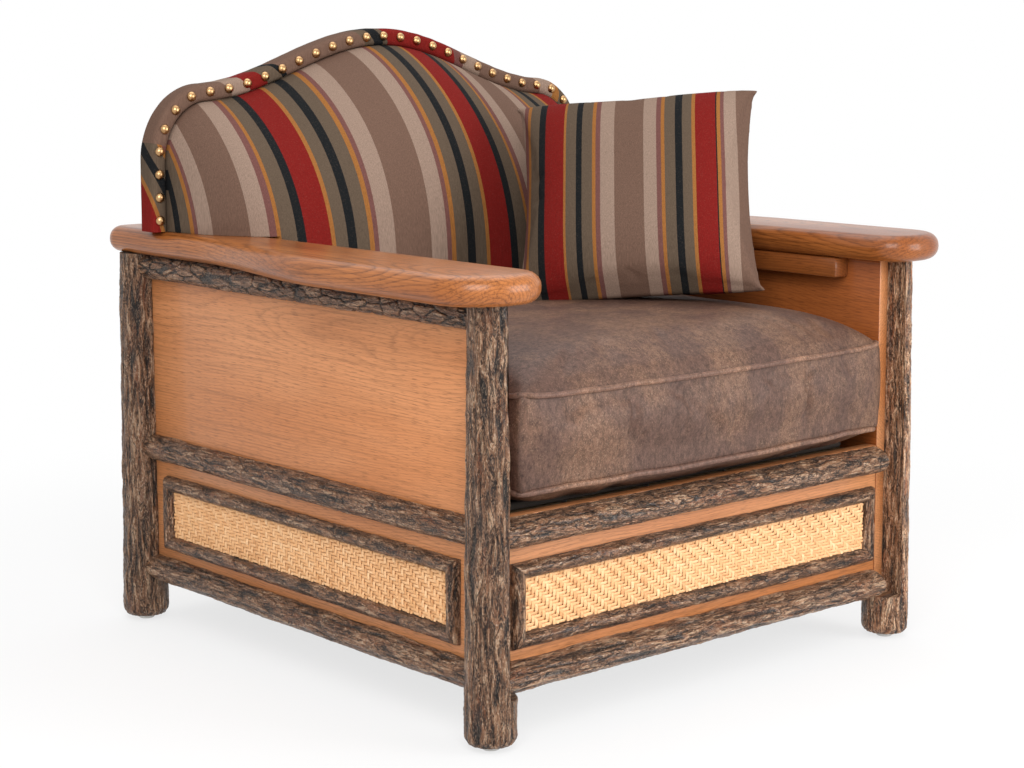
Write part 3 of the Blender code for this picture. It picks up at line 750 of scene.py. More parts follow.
def make_rails(finish):
    post_low, post_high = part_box("post_front_right")
    post_y = -(post_low.y + post_high.y) / 2
    post_x = (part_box("glide_front_right")[0].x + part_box("glide_front_right")[1].x) / 2
    foot_r = (post_high.y - post_low.y) / 2
    seed = 20
    for side, sign in (("left", -1), ("right", 1)):
        for level, plates in RAIL_PLATES:
            node = f"side_{level}_rail_{side}"
            low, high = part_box(node)
            share = (low.z + high.z) / 2 / post_high.z
            radius = foot_r + (POST_HEAD_R - foot_r) * share

            def reach(_, out):
                beside = PANEL_OUTER + out - post_x
                return post_y - math.sqrt(max(radius ** 2 - beside ** 2, 0.0)) + RAIL_TUCK

            seed += 1
            outward, along = Vector((sign, 0, 0)), Vector((0, 1, 0))
            half_log_piece(node, outward, along, finish, LOG_SIDES, LOG_RINGS, RAIL_BARK, seed, plates, reach)
    for end, sign in (("front", -1), ("rear", 1)):
        for level, plates in LOG_PLATES:
            node = f"{end}_{level}_log"
            low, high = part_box(node)
            seed += 1

            def full(_, out):
                return (high.x - low.x) / 2

            outward, along = Vector((0, sign, 0)), Vector((1, 0, 0))
            half_log_piece(node, outward, along, finish, LOG_SIDES, LOG_RINGS, LOG_BARK, seed, plates, full)


def make_mouldings(finish):
    seed = 50
    for face, outward in WOVEN_FACES.items():
        rightward = UP.cross(outward)
        edges = {"top": UP, "bottom": -UP, "right": rightward, "left": -rightward}
        for edge, outer in edges.items():
            node = f"moulding_{face}_{edge}"
            low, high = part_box(node)
            size = high - low
            along = outer.cross(outward)
            reach = abs(size.dot(along)) / 2
            width = abs(size.dot(outer))
            seed += 1

            def mitre(side, _):
                return reach - (width / 2 - side)

            rings = SHORT_MOULDING_RINGS if reach < SHORT_MOULDING else LOG_RINGS
            bark = (MOULDING_SIDES, rings, MOULDING_BARK, seed, MOULDING_PLATES)
            half_log_piece(node, outward, along, finish, *bark, mitre)


# Oak
def oak_board(node, material, edge=BOARD_EDGE):
    new_piece(node + "_board", node_block(node, edge, 2), material, CHAIR, [node])


def arc(centre, radius, start, end, steps):
    points = []
    for step in range(steps + 1):
        angle = math.radians(start + (end - start) * step / steps)
        points.append((centre[0] + radius * math.cos(angle), centre[1] + radius * math.sin(angle)))
    return points


def arm_outline(sign):
    """The arm's plan: straight inside, flared outside, broadly rounded in front."""
    outer_rear = ARM_INNER + ARM_WIDTH_REAR
    outer_front = ARM_HIGH.x
    inner_r, outer_r, rear_r = ARM_FRONT_INNER_R, ARM_FRONT_OUTER_R, ARM_REAR_R
    points = arc((ARM_INNER + rear_r, ARM_HIGH.y - rear_r), rear_r, 90, 180, 10)
    points += arc((ARM_INNER + inner_r, ARM_LOW.y + inner_r), inner_r, 180, 270, 16)
    points += arc((outer_front - outer_r, ARM_LOW.y + outer_r), outer_r, 270, 360, 20)
    steps = 28
    for step in range(steps + 1):
        y = ARM_FLARE_START_Y - ARM_FLARE_LENGTH * (1 - step / steps)
        flare = smooth_step((ARM_FLARE_START_Y - y) / ARM_FLARE_LENGTH)
        points.append((outer_rear + flare * (outer_front - outer_rear), y))
    points += arc((outer_rear - rear_r, ARM_HIGH.y - rear_r), rear_r, 0, 90, 10)
    return [(sign * x, y) for x, y in points]


def make_arms(materials):
    for side, sign in (("left", -1), ("right", 1)):
        shape = bmesh.new()
        rim = [shape.verts.new((x, y, ARM_LOW.z)) for x, y in arm_outline(sign)]
        bmesh.ops.remove_doubles(shape, verts=rim, dist=1e-5)
        shape.faces.new(shape.verts)
        bmesh.ops.translate(shape, vec=(0, 0, ARM_HIGH.z - ARM_LOW.z), verts=extruded_verts(shape))
        bmesh.ops.recalc_face_normals(shape, faces=shape.faces)
        soft_bevel(shape, level_edges(shape), ARM_BULLNOSE, 7)
        new_piece(f"arm_{side}_slab", shape, materials[side], CHAIR, [f"arm_{side}"])


# Cane
def make_weaves(finish):
    for face, outward in WOVEN_FACES.items():
        node = "weave_" + face
        low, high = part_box(node)
        rightward = UP.cross(outward)
        width = abs((high - low).dot(rightward))
        height = high.z - low.z
        thick = abs((high - low).dot(outward))
        columns = round(width / STRAND_PITCH_X)
        rows = round(height / STRAND_PITCH_Z)
        pitch_x = width / columns
        pitch_z = height / rows
        shape = bmesh.new()
        tone = shape.verts.layers.float.new("tone")
        grain = shape.verts.layers.float_vector.new("grain")
        base = (low + high) / 2 - outward * thick / 2
        turn = Matrix((rightward, outward, UP)).transposed().to_4x4()
        to_face = Matrix.Translation(base + outward * (thick - STRAND_RISE - STRAND_T / 2)) @ turn

        def over(column, row):
            """Twill: the upright strand lies over two rows, then under two, one step on each column."""
            return 1 if (column + row) % 4 < 2 else -1

        for column in range(columns):
            x = (column + 0.5) * pitch_x - width / 2
            rises = [over(column, row) for row in range(rows)]
            strand(shape, to_face, tone, grain, rises, pitch_x, height, x, False, column)
        for row in range(rows):
            z = (row + 0.5) * pitch_z - height / 2
            rises = [-over(column, row) for column in range(columns)]
            strand(shape, to_face, tone, grain, rises, pitch_z, width, z, True, row + 500)
        new_piece(node + "_strands", shape, finish, CHAIR, [node], sharp=math.radians(60))


def strand(shape, to_face, tone, grain, rises, pitch, length, offset, level, number):
    """One flat strand that passes over and under its neighbours."""
    stops = 3 * len(rises) - 1
    made = bmesh.ops.create_grid(shape, x_segments=stops, y_segments=4, size=0.5)
    shade = 0.5 + 0.42 * noise.noise((number * 1.37, 2.1, 7.7))
    section = ((0.0, -0.5), (0.5, 0.0), (0.22, 0.5), (-0.22, 0.5), (-0.5, 0.0))
    for vert in made["verts"]:
        share = vert.co.x + 0.5
        place = share * (len(rises) - 1)
        first = min(int(place), len(rises) - 2)
        turn = smooth_step((place - first - 0.18) / 0.64)
        rise = STRAND_RISE * (rises[first] * (1 - turn) + rises[first + 1] * turn)
        run = share * length - length / 2
        across, up = section[min(int(round((vert.co.y + 0.5) * 4)), 4)]
        side = offset + across * STRAND_SHARE * pitch
        out = rise + up * STRAND_T
        vert[tone] = clamp(shade + 0.22 * noise.noise((run * 60, number * 3.3, 0.0)))
        vert[grain] = (side, out, run + number)
        local = Vector((run, out, side)) if level else Vector((side, out, run))
        vert.co = to_face @ local


# Back
def hump_height(x):
    return SHOULDER_Z + HUMP_H * 0.5 * (1 + math.cos(math.pi * min(abs(x) / HUMP_REACH, 1.0)))


def nail_line(steps=60):
    """The line that the nails follow, from the left arm over the crest to the right arm."""
    corner_base = SHOULDER_Z - CORNER_DROP
    shoulder_z = hump_height(SHOULDER_X)
    corner_x = NAIL_HALF_WIDTH - SHOULDER_X
    half = []
    for step in range(steps):
        x = SHOULDER_X * step / steps
        half.append(Vector((x, hump_height(x))))
    for step in range(steps // 2 + 1):
        angle = 0.5 * math.pi * step / (steps // 2)
        x = SHOULDER_X + corner_x * math.sin(angle)
        half.append(Vector((x, corner_base + (shoulder_z - corner_base) * math.cos(angle))))
    foot_steps = 14
    for step in range(1, foot_steps + 1):
        z = corner_base + (ARM_TOP + GAP - corner_base) * step / foot_steps
        half.append(Vector((NAIL_HALF_WIDTH, z)))
    mirrored = [Vector((-point.x, point.y)) for point in reversed(half[1:])]
    return mirrored + half


def line_normals(line):
    normals = []
    for index in range(len(line)):
        along = (line[min(index + 1, len(line) - 1)] - line[max(index - 1, 0)]).normalized()
        normals.append(Vector((-along.y, along.x)))
    return normals


def offset_line(line, distance):
    return [point + normal * distance for point, normal in zip(line, line_normals(line))]


def inner_rim():
    """The border's inner edge, which the pad and the outside back lie within."""
    return offset_line(nail_line(), -BORDER_IN - GAP)


def rim_height(x, line):
    for before, after in zip(line, line[1:]):
        if before.x <= x <= after.x and after.x > before.x:
            return before.y + (after.y - before.y) * (x - before.x) / (after.x - before.x)
    return line[0].y


def line_lengths(line):
    lengths = [0.0]
    for before, after in zip(line, line[1:]):
        lengths.append(lengths[-1] + (after - before).length)
    return lengths


def rounded_section(low_n, high_n, low_y, high_y, radius, corner_steps):
    """A rounded rectangle: points (outwards, y) round it."""
    corners = ((high_n - radius, high_y - radius, 0), (low_n + radius, high_y - radius, 90))
    corners += ((low_n + radius, low_y + radius, 180), (high_n - radius, low_y + radius, 270))
    points = []
    for centre_n, centre_y, start in corners:
        points += arc((centre_n, centre_y), radius, start, start + 90, corner_steps)
    return points


def nail_place(number, lengths):
    """How far along the nail line a nail lies: the middle nail is on the crest."""
    return lengths[-1] / 2 + (number - (NAIL_COUNT - 1) / 2) * lengths[-1] / NAIL_COUNT


def make_border(name, finish, first_nail, last_nail, runs_on):
    """The padded edge that the nails hold, swept along the nail line from one nail to another.

    Where the pad's cloth runs on over it, the stripes go on from the pad's edge.
    """
    line = nail_line()
    normals = line_normals(line)
    lengths = line_lengths(line)
    rim = inner_rim()
    half_width = rim[-1].x
    ends = [nail_place(number, lengths) for number in (first_nail, last_nail)]
    first, last = (min(range(len(line)), key=lambda i: abs(lengths[i] - end)) for end in ends)
    rear_y = BACK_FRONT_Y + BORDER_DEPTH
    section = rounded_section(-BORDER_IN, BORDER_OUT, BACK_FRONT_Y, rear_y, BORDER_ROUND, 6)
    shape = bmesh.new()
    across = shape.verts.layers.float.new("across")
    bmesh.ops.create_grid(shape, x_segments=last - first, y_segments=len(section), size=0.5)
    for vert in shape.verts:
        index = first + round((vert.co.x + 0.5) * (last - first))
        around = round((vert.co.y + 0.5) * len(section)) % len(section)
        out, y = section[around]
        point = line[index] + normals[index] * out
        pucker = BORDER_PUCKER * noise.noise((lengths[index] * 55, out * 60, y * 60))
        if runs_on:
            edge = cloth_length(half_width, line[index].y, rim, half_width)
            vert[across] = math.copysign(edge + BORDER_IN + out + 0.6 * (y - BACK_FRONT_Y), point.x)
        else:
            vert[across] = lengths[index] + 0.65 * out + 0.3 * (y - BACK_FRONT_Y)
        vert.co = (point.x + normals[index].x * pucker, y - pucker, point.y + normals[index].y * pucker)
    bmesh.ops.remove_doubles(shape, verts=shape.verts, dist=1e-5)
    bmesh.ops.holes_fill(shape, edges=shape.edges, sides=0)
    bmesh.ops.recalc_face_normals(shape, faces=shape.faces)
    piece = new_piece(name, shape, finish, CHAIR, ["back_border"], math.radians(60))


def make_nails(finish):
    """Domed nails, evenly spaced along the nail line with one on the crest."""
    line = nail_line()
    lengths = line_lengths(line)
    shape = bmesh.new()
    for number in range(NAIL_COUNT):
        goal = nail_place(number, lengths)
        index = next(i for i in range(1, len(lengths)) if lengths[i] >= goal)
        share = (goal - lengths[index - 1]) / (lengths[index] - lengths[index - 1])
        point = line[index - 1].lerp(line[index], share)
        sphere = bmesh.ops.create_uvsphere(shape, u_segments=16, v_segments=10, radius=1.0)
        verts = sphere["verts"]
        bmesh.ops.rotate(shape, cent=(0, 0, 0), matrix=Matrix.Rotation(math.pi / 2, 3, "X"), verts=verts)
        for vert in verts:
            vert.co.y = min(vert.co.y, NAIL_BACK)
        bmesh.ops.scale(shape, vec=(NAIL_R, NAIL_PROUD, NAIL_R), verts=verts)
        bmesh.ops.translate(shape, vec=(point.x, BACK_FRONT_Y, point.y), verts=verts)
    new_piece("back_nails", shape, finish, CHAIR, sharp=math.radians(70))


def pad_crown(x, z, top_z, half_width):
    """How far the pad's front stands forward of its rim."""
    depth = max(top_z - z, 0.0)
    if depth < PAD_CROWN_REACH:
        rise = (1 - (1 - depth / PAD_CROWN_REACH) ** PAD_CROWN_POWER) ** PAD_CROWN_ONSET
    else:
        lower = (depth - PAD_CROWN_REACH) / (top_z - DECK_TOP - PAD_CROWN_REACH)
        rise = 1 - PAD_TUCK / PAD_CROWN * lower * lower
    edge = min((half_width - abs(x)) / PAD_SIDE_REACH, 1.0)
    return PAD_CROWN * rise * math.sqrt(max(1 - (1 - edge) ** 2, 0.0))


def cloth_length(x, z, rim, half_width, steps=16):
    """How far across the cloth a place lies from the middle: level with it, along the crown's surface."""
    flat = half_width - PAD_SIDE_REACH
    if abs(x) <= flat:
        return x
    length = flat
    before = pad_crown(flat, z, rim_height(flat, rim), half_width)
    run = (abs(x) - flat) / steps
    for step in range(1, steps + 1):
        spot = flat + run * step
        top_z = max(rim_height(min(spot, half_width - GAP), rim), z)
        crown = pad_crown(spot, z, top_z, half_width)
        length += math.hypot(run, crown - before)
        before = crown
    return math.copysign(length, x)


def cut_for_arms(shape, tongue_half):
    """Take away what lies below the arms' tops and outside the tongue between them."""
    level = ARM_TOP + GAP
    upright = [((sign * tongue_half, 0, 0), (1, 0, 0)) for sign in (-1, 1)]
    for place, normal in [((0, 0, level), (0, 0, 1))] + upright:
        geometry = shape.verts[:] + shape.edges[:] + shape.faces[:]
        bmesh.ops.bisect_plane(shape, geom=geometry, dist=1e-5, plane_co=place, plane_no=normal)
    outside = []
    for face in shape.faces:
        middle = face.calc_center_median()
        if middle.z < level and abs(middle.x) > tongue_half:
            outside.append(face)
    bmesh.ops.delete(shape, geom=outside, context="FACES")


def under_rim(share, rim):
    """A place across the back, -1 to 1 and closer together at its sides, with the rim's height there."""
    half_width = rim[-1].x
    x = half_width * math.sin(0.5 * math.pi * share)
    return x, rim_height(x, rim) if abs(x) < half_width - GAP else SHOULDER_Z - CORNER_DROP


def close_sheet(shape, far_y):
    """Cut a sheet of the back for the arms and give it a flat far side."""
    cut_for_arms(shape, ARM_INNER - TONGUE_GAP)
    for vert in extruded_verts(shape):
        vert.co.y = far_y
    bmesh.ops.recalc_face_normals(shape, faces=shape.faces)


def make_back_pad(finish):
    """The crowned pad inside the border, with room for the arms at its sides."""
    rim = inner_rim()
    half_width = rim[-1].x
    foot_z = DECK_TOP + GAP
    shape = bmesh.new()
    across = shape.verts.layers.float.new("across")
    bmesh.ops.create_grid(shape, x_segments=120, y_segments=80, size=1.0)
    for vert in shape.verts:
        x, top_z = under_rim(vert.co.x, rim)
        share = ((1 - vert.co.y) / 2) ** PAD_ROW_POWER
        z = top_z - (top_z - foot_z) * share
        spread = 1 + PAD_STRIPE_SPREAD * (top_z - z - PAD_STRIPE_LEVEL)
        vert[across] = PAD_STRIPE_MIDDLE + (cloth_length(x, z, rim, half_width) - PAD_STRIPE_MIDDLE) / spread
        vert.co = (x, PAD_RIM_Y - PAD_RIM_T - pad_crown(x, z, top_z, half_width), z)
    close_sheet(shape, PAD_RIM_Y - GAP)
    piece = new_piece("back_pad_cloth", shape, finish, CHAIR, ["back_pad"], math.radians(70))


def make_outside_back(finish):
    """The cloth panel behind the back, a little crowned inside its border."""
    low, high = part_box("outside_back")
    rim = inner_rim()
    half_width = rim[-1].x
    shape = bmesh.new()
    bmesh.ops.create_grid(shape, x_segments=70, y_segments=60, size=1.0)
    for vert in shape.verts:
        x, top_z = under_rim(vert.co.x, rim)
        z = top_z - (top_z - low.z) * (1 - vert.co.y) / 2
        edge = clamp((half_width - abs(x)) / OUTSIDE_REACH) * clamp((top_z - z) / OUTSIDE_REACH)
        crown = OUTSIDE_CROWN * math.sqrt(clamp(1 - (1 - edge) ** 2))
        vert.co = (x, high.y - OUTSIDE_CROWN + crown, z)
    close_sheet(shape, low.y)
    nodes = ["outside_back"]
    piece = new_piece("outside_back_cloth", shape, finish, CHAIR, nodes, math.radians(60))


# Soft loose pieces
def plump(piece, voxel, cap):
    """Swell a piece by a cloth simulation with inner pressure. No point moves further than the cap."""
    remesh = piece.modifiers.new("even_mesh", "REMESH")
    remesh.mode = "VOXEL"
    remesh.voxel_size = voxel
    apply_modifiers(piece)
    rest = [vert.co.copy() for vert in piece.data.vertices]
    cloth = piece.modifiers.new("swell", "CLOTH")
    cloth.settings.quality = 6
    cloth.settings.mass = 0.3
    cloth.settings.tension_stiffness = 20
    cloth.settings.compression_stiffness = 20
    cloth.settings.bending_stiffness = 1.5
    cloth.settings.use_pressure = True
    cloth.settings.uniform_pressure_force = SWELL_PRESSURE
    cloth.settings.effector_weights.gravity = 0
    cloth.point_cache.frame_start = 1
    cloth.point_cache.frame_end = SWELL_FRAMES
    for number in range(1, SWELL_FRAMES + 1):
        bpy.context.scene.frame_set(number)
    apply_modifiers(piece)
    for vert, start in zip(piece.data.vertices, rest):
        move = vert.co - start
        if move.length > cap:
            vert.co = start + move.normalized() * cap
    bpy.context.scene.frame_set(1)
    piece.data.shade_smooth()


def apply_modifiers(piece):
    graph = bpy.context.evaluated_depsgraph_get()
    mesh = bpy.data.meshes.new_from_object(piece.evaluated_get(graph))
    materials = list(piece.data.materials)
    old = piece.data
    piece.modifiers.clear()
    piece.data = mesh
    mesh.materials.clear()
    for material in materials:
        mesh.materials.append(material)
    bpy.data.meshes.remove(old)


def soft_cage(form, cuts):
    """A cube's cage, finely cut. form maps -1 to 1 along each side to a place."""
    shape = bmesh.new()
    bmesh.ops.create_cube(shape, size=2.0)
    bmesh.ops.subdivide_edges(shape, edges=shape.edges, cuts=cuts, use_grid_fill=True)
    for vert in shape.verts:
        vert.co = form(*vert.co)
    bmesh.ops.recalc_face_normals(shape, faces=shape.faces)
    return shape


def cushion_form(u, v, w):
    dome = max((1 - u ** 4) * (1 - v ** 4), 0.0) ** 0.5
    x = (CUSHION_HALF_W + CUSHION_SIDE_BULGE * (1 - w * w)) * u
    y = CUSHION_DEPTH / 2 * v - CUSHION_FRONT_BULGE * (1 - u * u) * ((1 - v) / 2) ** 2
    crown = CUSHION_CROWN_TOP if w > 0 else CUSHION_CROWN_UNDER
    return Vector((x, CUSHION_Y + y, CUSHION_Z + (CUSHION_BOXING / 2 + crown * dome) * w))


def seam_path(w, steps=80):
    """Points of the cushion's top (w 1) or bottom (w -1) seam, all round."""
    points = []
    for start, end in (((-1, -1), (1, -1)), ((1, -1), (1, 1)), ((1, 1), (-1, 1)), ((-1, 1), (-1, -1))):
        for step in range(steps):
            share = step / steps
            u = start[0] + (end[0] - start[0]) * share
            v = start[1] + (end[1] - start[1]) * share
            points.append(cushion_form(u, v, w))
    return points


def round_corners(points, times):
    for _ in range(times):
        count = len(points)
        points = [(points[i - 1] + 2 * points[i] + points[(i + 1) % count]) / 4 for i in range(count)]
    return points


def make_seat_cushion(finish, welt_finish):
    shape = soft_cage(cushion_form, 40)
    nodes = ["seat_cushion"]
    piece = new_piece("seat_cushion_leather", shape, finish, CUSHION, nodes, math.radians(80))
    plump(piece, CUSHION_VOXEL, CUSHION_CAP)
    tree = BVHTree.FromObject(piece, bpy.context.evaluated_depsgraph_get())
    for name, w in (("top", 1), ("bottom", -1)):
        path = []
        for point in round_corners(seam_path(w), 30):
            near, normal, _, _ = tree.find_nearest(point)
            path.append(near + normal * WELT_R * WELT_PROUD)
        make_welt(f"cushion_{name}_welt", round_corners(path, 3), WELT_R, welt_finish, CUSHION)


def make_welt(name, points, radius, finish, body):
    """A closed piped seam along points."""
    curve = bpy.data.curves.new(name, "CURVE")
    curve.dimensions = "3D"
    curve.bevel_depth = radius
    curve.bevel_resolution = 3
    spline = curve.splines.new("POLY")
    spline.points.add(len(points) - 1)
    for target, point in zip(spline.points, points):
        target.co = (*point, 1)
    spline.use_cyclic_u = True
    maker = link_object(name + "_line", curve)
    graph = bpy.context.evaluated_depsgraph_get()
    mesh = bpy.data.meshes.new_from_object(maker.evaluated_get(graph))
    bpy.data.objects.remove(maker, do_unlink=True)
    shape = bmesh.new()
    shape.from_mesh(mesh)
    bpy.data.meshes.remove(mesh)
    bmesh.ops.remove_doubles(shape, verts=shape.verts, dist=1e-6)
    new_piece(name, shape, finish, body)


def pillow_matrix():
    """The pillow's own frame: X across, Z up, its back towards Y, its foot on the cushion."""
    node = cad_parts["throw_pillow"]
    points = [node.matrix_world @ vert.co for vert in node.data.vertices]
    turn = Matrix.Rotation(PILLOW_TURN, 4, "Z") @ Matrix.Rotation(-PILLOW_ROLL, 4, "Y")
    turn = turn @ Matrix.Rotation(-PILLOW_LEAN, 4, "X")
    local = [turn.inverted() @ point for point in points]
    middle = [(min(p[i] for p in local) + max(p[i] for p in local)) / 2 for i in range(3)]
    return turn @ Matrix.Translation(Vector(middle))


def pillow_form(u, v, w):
    x = PILLOW_W / 2 * u * (1 - PILLOW_SIDE_PULL * (1 - v * v))
    z = PILLOW_H / 2 * v * (1 - PILLOW_TOP_PULL * (1 - u * u))
    fill = max((1 - u ** 4) * (1 - v ** 4), 0.0) ** 0.7
    return Vector((x, (PILLOW_EDGE_T + PILLOW_T * fill) / 2 * w, z))


def make_pillow(finish):
    place = pillow_matrix()
    shape = soft_cage(pillow_form, 30)
    nodes = ["throw_pillow"]
    piece = new_piece("throw_pillow_cloth", shape, finish, PILLOW, nodes, math.radians(80))
    plump(piece, PILLOW_VOXEL, PILLOW_CAP)
    across = piece.data.attributes.new("across", "FLOAT", "POINT")
    across.data.foreach_set("value", [vert.co.x for vert in piece.data.vertices])
    piece.data.transform(place)


# Under the seat
def make_deck(finish):
    shape = node_block("seat_deck", DECK_EDGE, 4)
    piece = new_piece("seat_deck_cloth", shape, finish, CHAIR, ["seat_deck"])


def make_dust_cover(finish):
    low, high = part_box("dust_cover")
    size = high - low
    shape = bmesh.new()
    bmesh.ops.create_grid(shape, x_segments=60, y_segments=60, size=0.5)
    for vert in shape.verts:
        slack = (1 - (2 * vert.co.x) ** 2) * (1 - (2 * vert.co.y) ** 2)
        ripple = DUST_RIPPLE * noise.noise((vert.co.x * 14, vert.co.y * 14, 0.5))
        x = (low.x + high.x) / 2 + vert.co.x * size.x
        y = (low.y + high.y) / 2 + vert.co.y * size.y
        vert.co = (x, y, high.z - DUST_INSET - DUST_SAG * slack + ripple * slack)
    bmesh.ops.solidify(shape, geom=shape.faces[:], thickness=DUST_T)
    bmesh.ops.recalc_face_normals(shape, faces=shape.faces)
    piece = new_piece("dust_cover_cloth", shape, finish, CHAIR, ["dust_cover"])


def make_glides(finish):
    for corner in CORNERS:
        node = "glide_" + corner
        low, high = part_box(node)
        radius = (high.x - low.x) / 2
        shape = bmesh.new()
        bmesh.ops.create_cone(
            shape,
            cap_ends=True,
            segments=40,
            radius1=radius,
            radius2=radius * GLIDE_TAPER,
            depth=high.z - low.z,
        )
        soft_bevel(shape, level_edges(shape), GLIDE_EDGE, 4)
        bmesh.ops.translate(shape, vec=(low + high) / 2, verts=shape.verts)
        new_piece(node + "_disc", shape, finish, CHAIR, [node])


# The chair
BARK = bark_finish()
OAK_LIGHT = (0.670, 0.286, 0.118)
OAK_DEEP = (0.560, 0.206, 0.068)
OAK_ARM_LIGHT = (0.455, 0.155, 0.039)
OAK_ARM_DEEP = (0.250, 0.065, 0.012)
# Painted shade on the side panels' inside faces reaches out to here
PAINTED_SHADE_X = PANEL_INNER + PAINTED_SHADE_INSET
PANEL_OAK = {
    side: oak_finish(f"oak_{side}_panel", "Y", heart, taper, OAK_LIGHT, OAK_DEEP, 0.36, inner=PAINTED_SHADE_X)
    for side, heart, taper in (("left", (-0.33, 0.50), 0.05), ("right", (0.44, 0.40), -0.04))
}
ARM_OAK = {
    side: oak_finish(
        f"oak_{side}_arm", "Y", heart, taper, OAK_ARM_LIGHT, OAK_ARM_DEEP, 0.24, 1.00, 0.14, streaks=0.60
    )
    for side, heart, taper in (("left", (-0.42, 0.52), 0.04), ("right", (0.38, 0.53), -0.05))
}
APRON_OAK = oak_finish("oak_aprons", "X", (-0.46, 0.12), 0.03, OAK_LIGHT, OAK_DEEP, 0.36, 0.60)
# Painted shade: the cleats' oak is much darker than the panels', for the shade they sit in under the arms
SHADED_CLEAT_OAK = oak_finish("oak_cleats_painted_shade", "Y", (0.30, 0.48), 0.03, (0.26, 0.080, 0.019), OAK_ARM_DEEP, 0.36, 0.80)
SEAT_WOOD = oak_finish("seat_wood", "X", (0.1, 0.15), 0.03, (0.48, 0.33, 0.19), (0.40, 0.26, 0.14), 0.6)
PAD_CLOTH = striped_finish("pad_stripes", attribute_across, STRIPES, PAD_STRIPE_MIDDLE, PAD_STRIPE_UNIT)
REAR_CLOTH = striped_finish("rear_stripes", object_axis("X"), STRIPES, PAD_STRIPE_MIDDLE, PAD_STRIPE_UNIT)
NAIL_PITCH = line_lengths(nail_line())[-1] / NAIL_COUNT
BORDER_CLOTH = striped_finish("border_stripes", attribute_across, BORDER_STRIPES, 0.0, NAIL_PITCH)
PILLOW_CLOTH = striped_finish(
    "pillow_stripes", attribute_across, PILLOW_STRIPES, PILLOW_STRIPE_START, PILLOW_STRIPE_UNIT
)
LEATHER = leather_finish("leather", 1.0)
WELT_LEATHER = leather_finish("leather_welt", 1.45)
BRASS = metal_finish("brass", (0.50, 0.30, 0.14), 0.20, (0.20, 0.10, 0.04))
GLIDE_STEEL = metal_finish("glide_steel", (0.55, 0.54, 0.52), 0.30, (0.30, 0.28, 0.26))
SPRING_STEEL = metal_finish("spring_steel", (0.36, 0.36, 0.37), 0.35, (0.18, 0.16, 0.14))
DECK_CLOTH = plain_cloth_finish("deck_cloth", (0.075, 0.060, 0.050))
DARK_CLOTH = plain_cloth_finish("dark_cloth", (0.018, 0.018, 0.018))

make_posts(BARK)
make_rails(BARK)
make_mouldings(BARK)
for side in ("left", "right"):
    oak_board("side_panel_" + side, PANEL_OAK[side])
    oak_board("arm_cleat_" + side, SHADED_CLEAT_OAK, CLEAT_EDGE)
for end in ("front", "rear"):
    oak_board(end + "_apron", APRON_OAK)
make_arms(ARM_OAK)
make_weaves(cane_finish())
last_pieced = NAIL_COUNT - 1 - PIECED_FROM_NAIL
make_border("back_border_left_cloth", PAD_CLOTH, -1, PIECED_FROM_NAIL, True)
make_border("back_border_cloth", BORDER_CLOTH, PIECED_FROM_NAIL, last_pieced, False)
make_border("back_border_right_cloth", PAD_CLOTH, last_pieced, NAIL_COUNT, True)
make_nails(BRASS)
make_back_pad(PAD_CLOTH)
make_outside_back(REAR_CLOTH)
make_seat_cushion(LEATHER, WELT_LEATHER)
make_pillow(PILLOW_CLOTH)
make_deck(DECK_CLOTH)
make_dust_cover(DARK_CLOTH)
make_glides(GLIDE_STEEL)
for node in ("seat_cleat_left", "seat_cleat_right", "seat_rail_front", "seat_rail_rear", "back_board"):
    dress_node(node, SEAT_WOOD)
for number in range(1, 5):
    dress_node(f"seat_spring_{number}", SPRING_STEEL)


# Studio
CAMERA_AZIMUTH = math.radians(-41.291)
CAMERA_ELEVATION = math.radians(7.158)
CAMERA_DISTANCE = 3.1303
CAMERA_SIDE = 0.0032
CAMERA_AIM_Z = 0.4890
CAMERA_LENS = 74.80
CAMERA_SHIFT_Y = -0.0801
SENSOR_WIDTH = 36.0
WORLD_LEVEL = 0.55
# Name, place, aim, size and watts
LAMPS = (
    ("key", (-1.9, -2.1, 2.0), (0, 0, 0.40), 1.8, 66),
    ("overhead", (0.3, 0.5, 2.7), (0, 0, 0.5), 2.2, 24),
    ("fill", (1.3, -2.7, 1.0), (0, 0, 0.35), 1.6, 46),
)


def make_camera():
    data = bpy.data.cameras.new("camera")
    data.sensor_width = SENSOR_WIDTH
    data.lens = CAMERA_LENS
    data.shift_y = CAMERA_SHIFT_Y
    camera = link_object("camera", data)
    azimuth, elevation = CAMERA_AZIMUTH, CAMERA_ELEVATION
    level = math.cos(elevation)
    back = Vector((math.sin(azimuth) * level, -math.cos(azimuth) * level, math.sin(elevation)))
    aim = Vector((math.cos(azimuth) * CAMERA_SIDE, math.sin(azimuth) * CAMERA_SIDE, CAMERA_AIM_Z))
    turn = back.to_track_quat("Z", "Y").to_matrix()
    camera.matrix_world = Matrix.Translation(aim + CAMERA_DISTANCE * back) @ turn.to_4x4()
    bpy.context.scene.camera = camera


def make_lamp(name, place, aim, size, watts):
    data = bpy.data.lights.new(name, "AREA")
    data.shape = "RECTANGLE"
    data.size = data.size_y = size
    data.energy = watts
    lamp = link_object(name, data)
    lamp.location = place
    lamp.rotation_euler = (Vector(place) - Vector(aim)).to_track_quat("Z", "Y").to_euler()


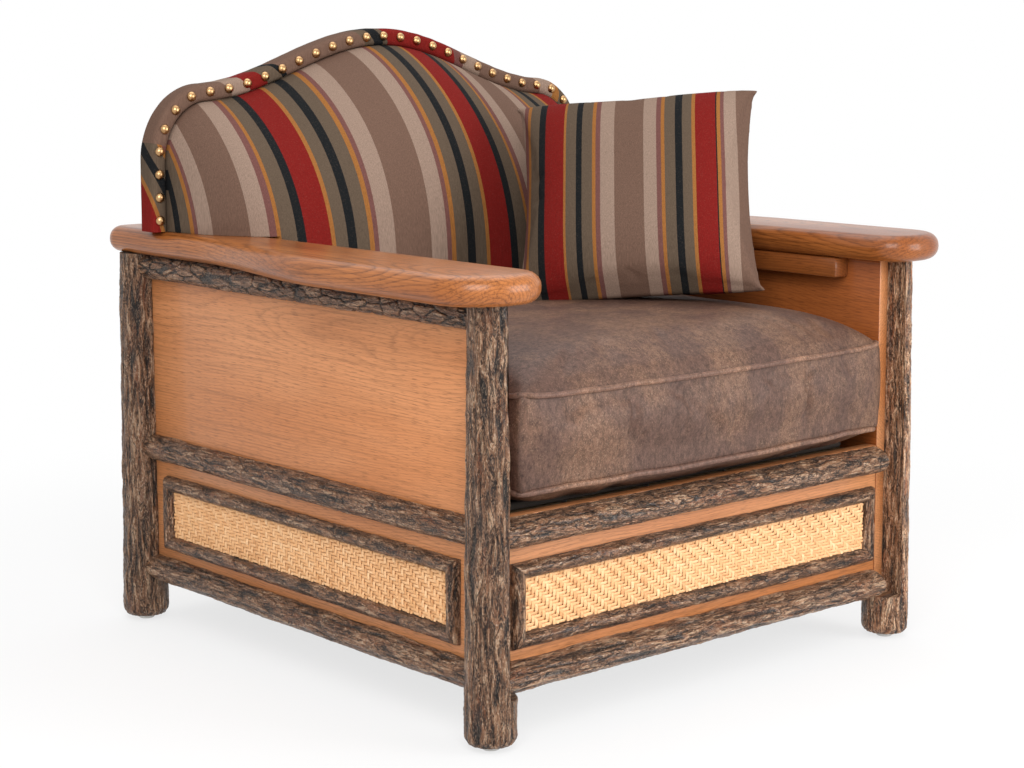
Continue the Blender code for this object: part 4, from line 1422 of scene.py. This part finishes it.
def seen_directly(nodes, links):
    """1 for rays that show the background: from the camera, in gloss or through glass."""
    path = nodes.new("ShaderNodeLightPath")
    total = path.outputs["Is Camera Ray"]
    for kind in ("Is Glossy Ray", "Is Transmission Ray"):
        larger = nodes.new("ShaderNodeMath")
        larger.operation = "MAXIMUM"
        links.new(total, larger.inputs[0])
        links.new(path.outputs[kind], larger.inputs[1])
        total = larger.outputs[0]
    return total


def make_world(level):
    world = bpy.data.worlds.new("studio")
    bpy.context.scene.world = world
    world.use_nodes = True
    nodes, links = world.node_tree.nodes, world.node_tree.links
    light = nodes["Background"]
    light.inputs["Color"].default_value = (1.0, 1.0, 1.0, 1.0)
    light.inputs["Strength"].default_value = level
    white = nodes.new("ShaderNodeBackground")
    white.inputs["Color"].default_value = (1.0, 1.0, 1.0, 1.0)
    mix = nodes.new("ShaderNodeMixShader")
    links.new(seen_directly(nodes, links), mix.inputs[0])
    links.new(light.outputs[0], mix.inputs[1])
    links.new(white.outputs[0], mix.inputs[2])
    links.new(mix.outputs[0], nodes["World Output"].inputs["Surface"])


def make_floor():
    """A pale floor that keeps the chair's shadow and is close to white elsewhere."""
    shape = bmesh.new()
    bmesh.ops.create_grid(shape, x_segments=1, y_segments=1, size=30.0)
    mesh = bpy.data.meshes.new("floor")
    shape.to_mesh(mesh)
    shape.free()
    floor = link_object("floor", mesh)
    finish = Finish("floor")
    finish.finish((0.90, 0.90, 0.90, 1.0), 0.9)
    glow = finish.node("Emission", {"Color": (1.0, 1.0, 1.0, 1.0)})
    away = finish.node("VectorMath", {0: finish.place()}, "Value", operation="LENGTH")
    far = finish.steps(away, 0.75, 1.7)
    lifted = finish.spread(far, 0.74, 1.0)
    share = finish.times(seen_directly(finish.nodes, finish.links), lifted)
    mix = finish.node("MixShader", {0: share, 1: finish.shader.outputs[0], 2: glow})
    finish.links.new(mix, finish.nodes["Material Output"].inputs["Surface"])
    mesh.materials.append(finish.material)


make_camera()
make_world(WORLD_LEVEL)
for lamp in LAMPS:
    make_lamp(*lamp)
make_floor()
bpy.context.scene.view_settings.view_transform = "Standard"
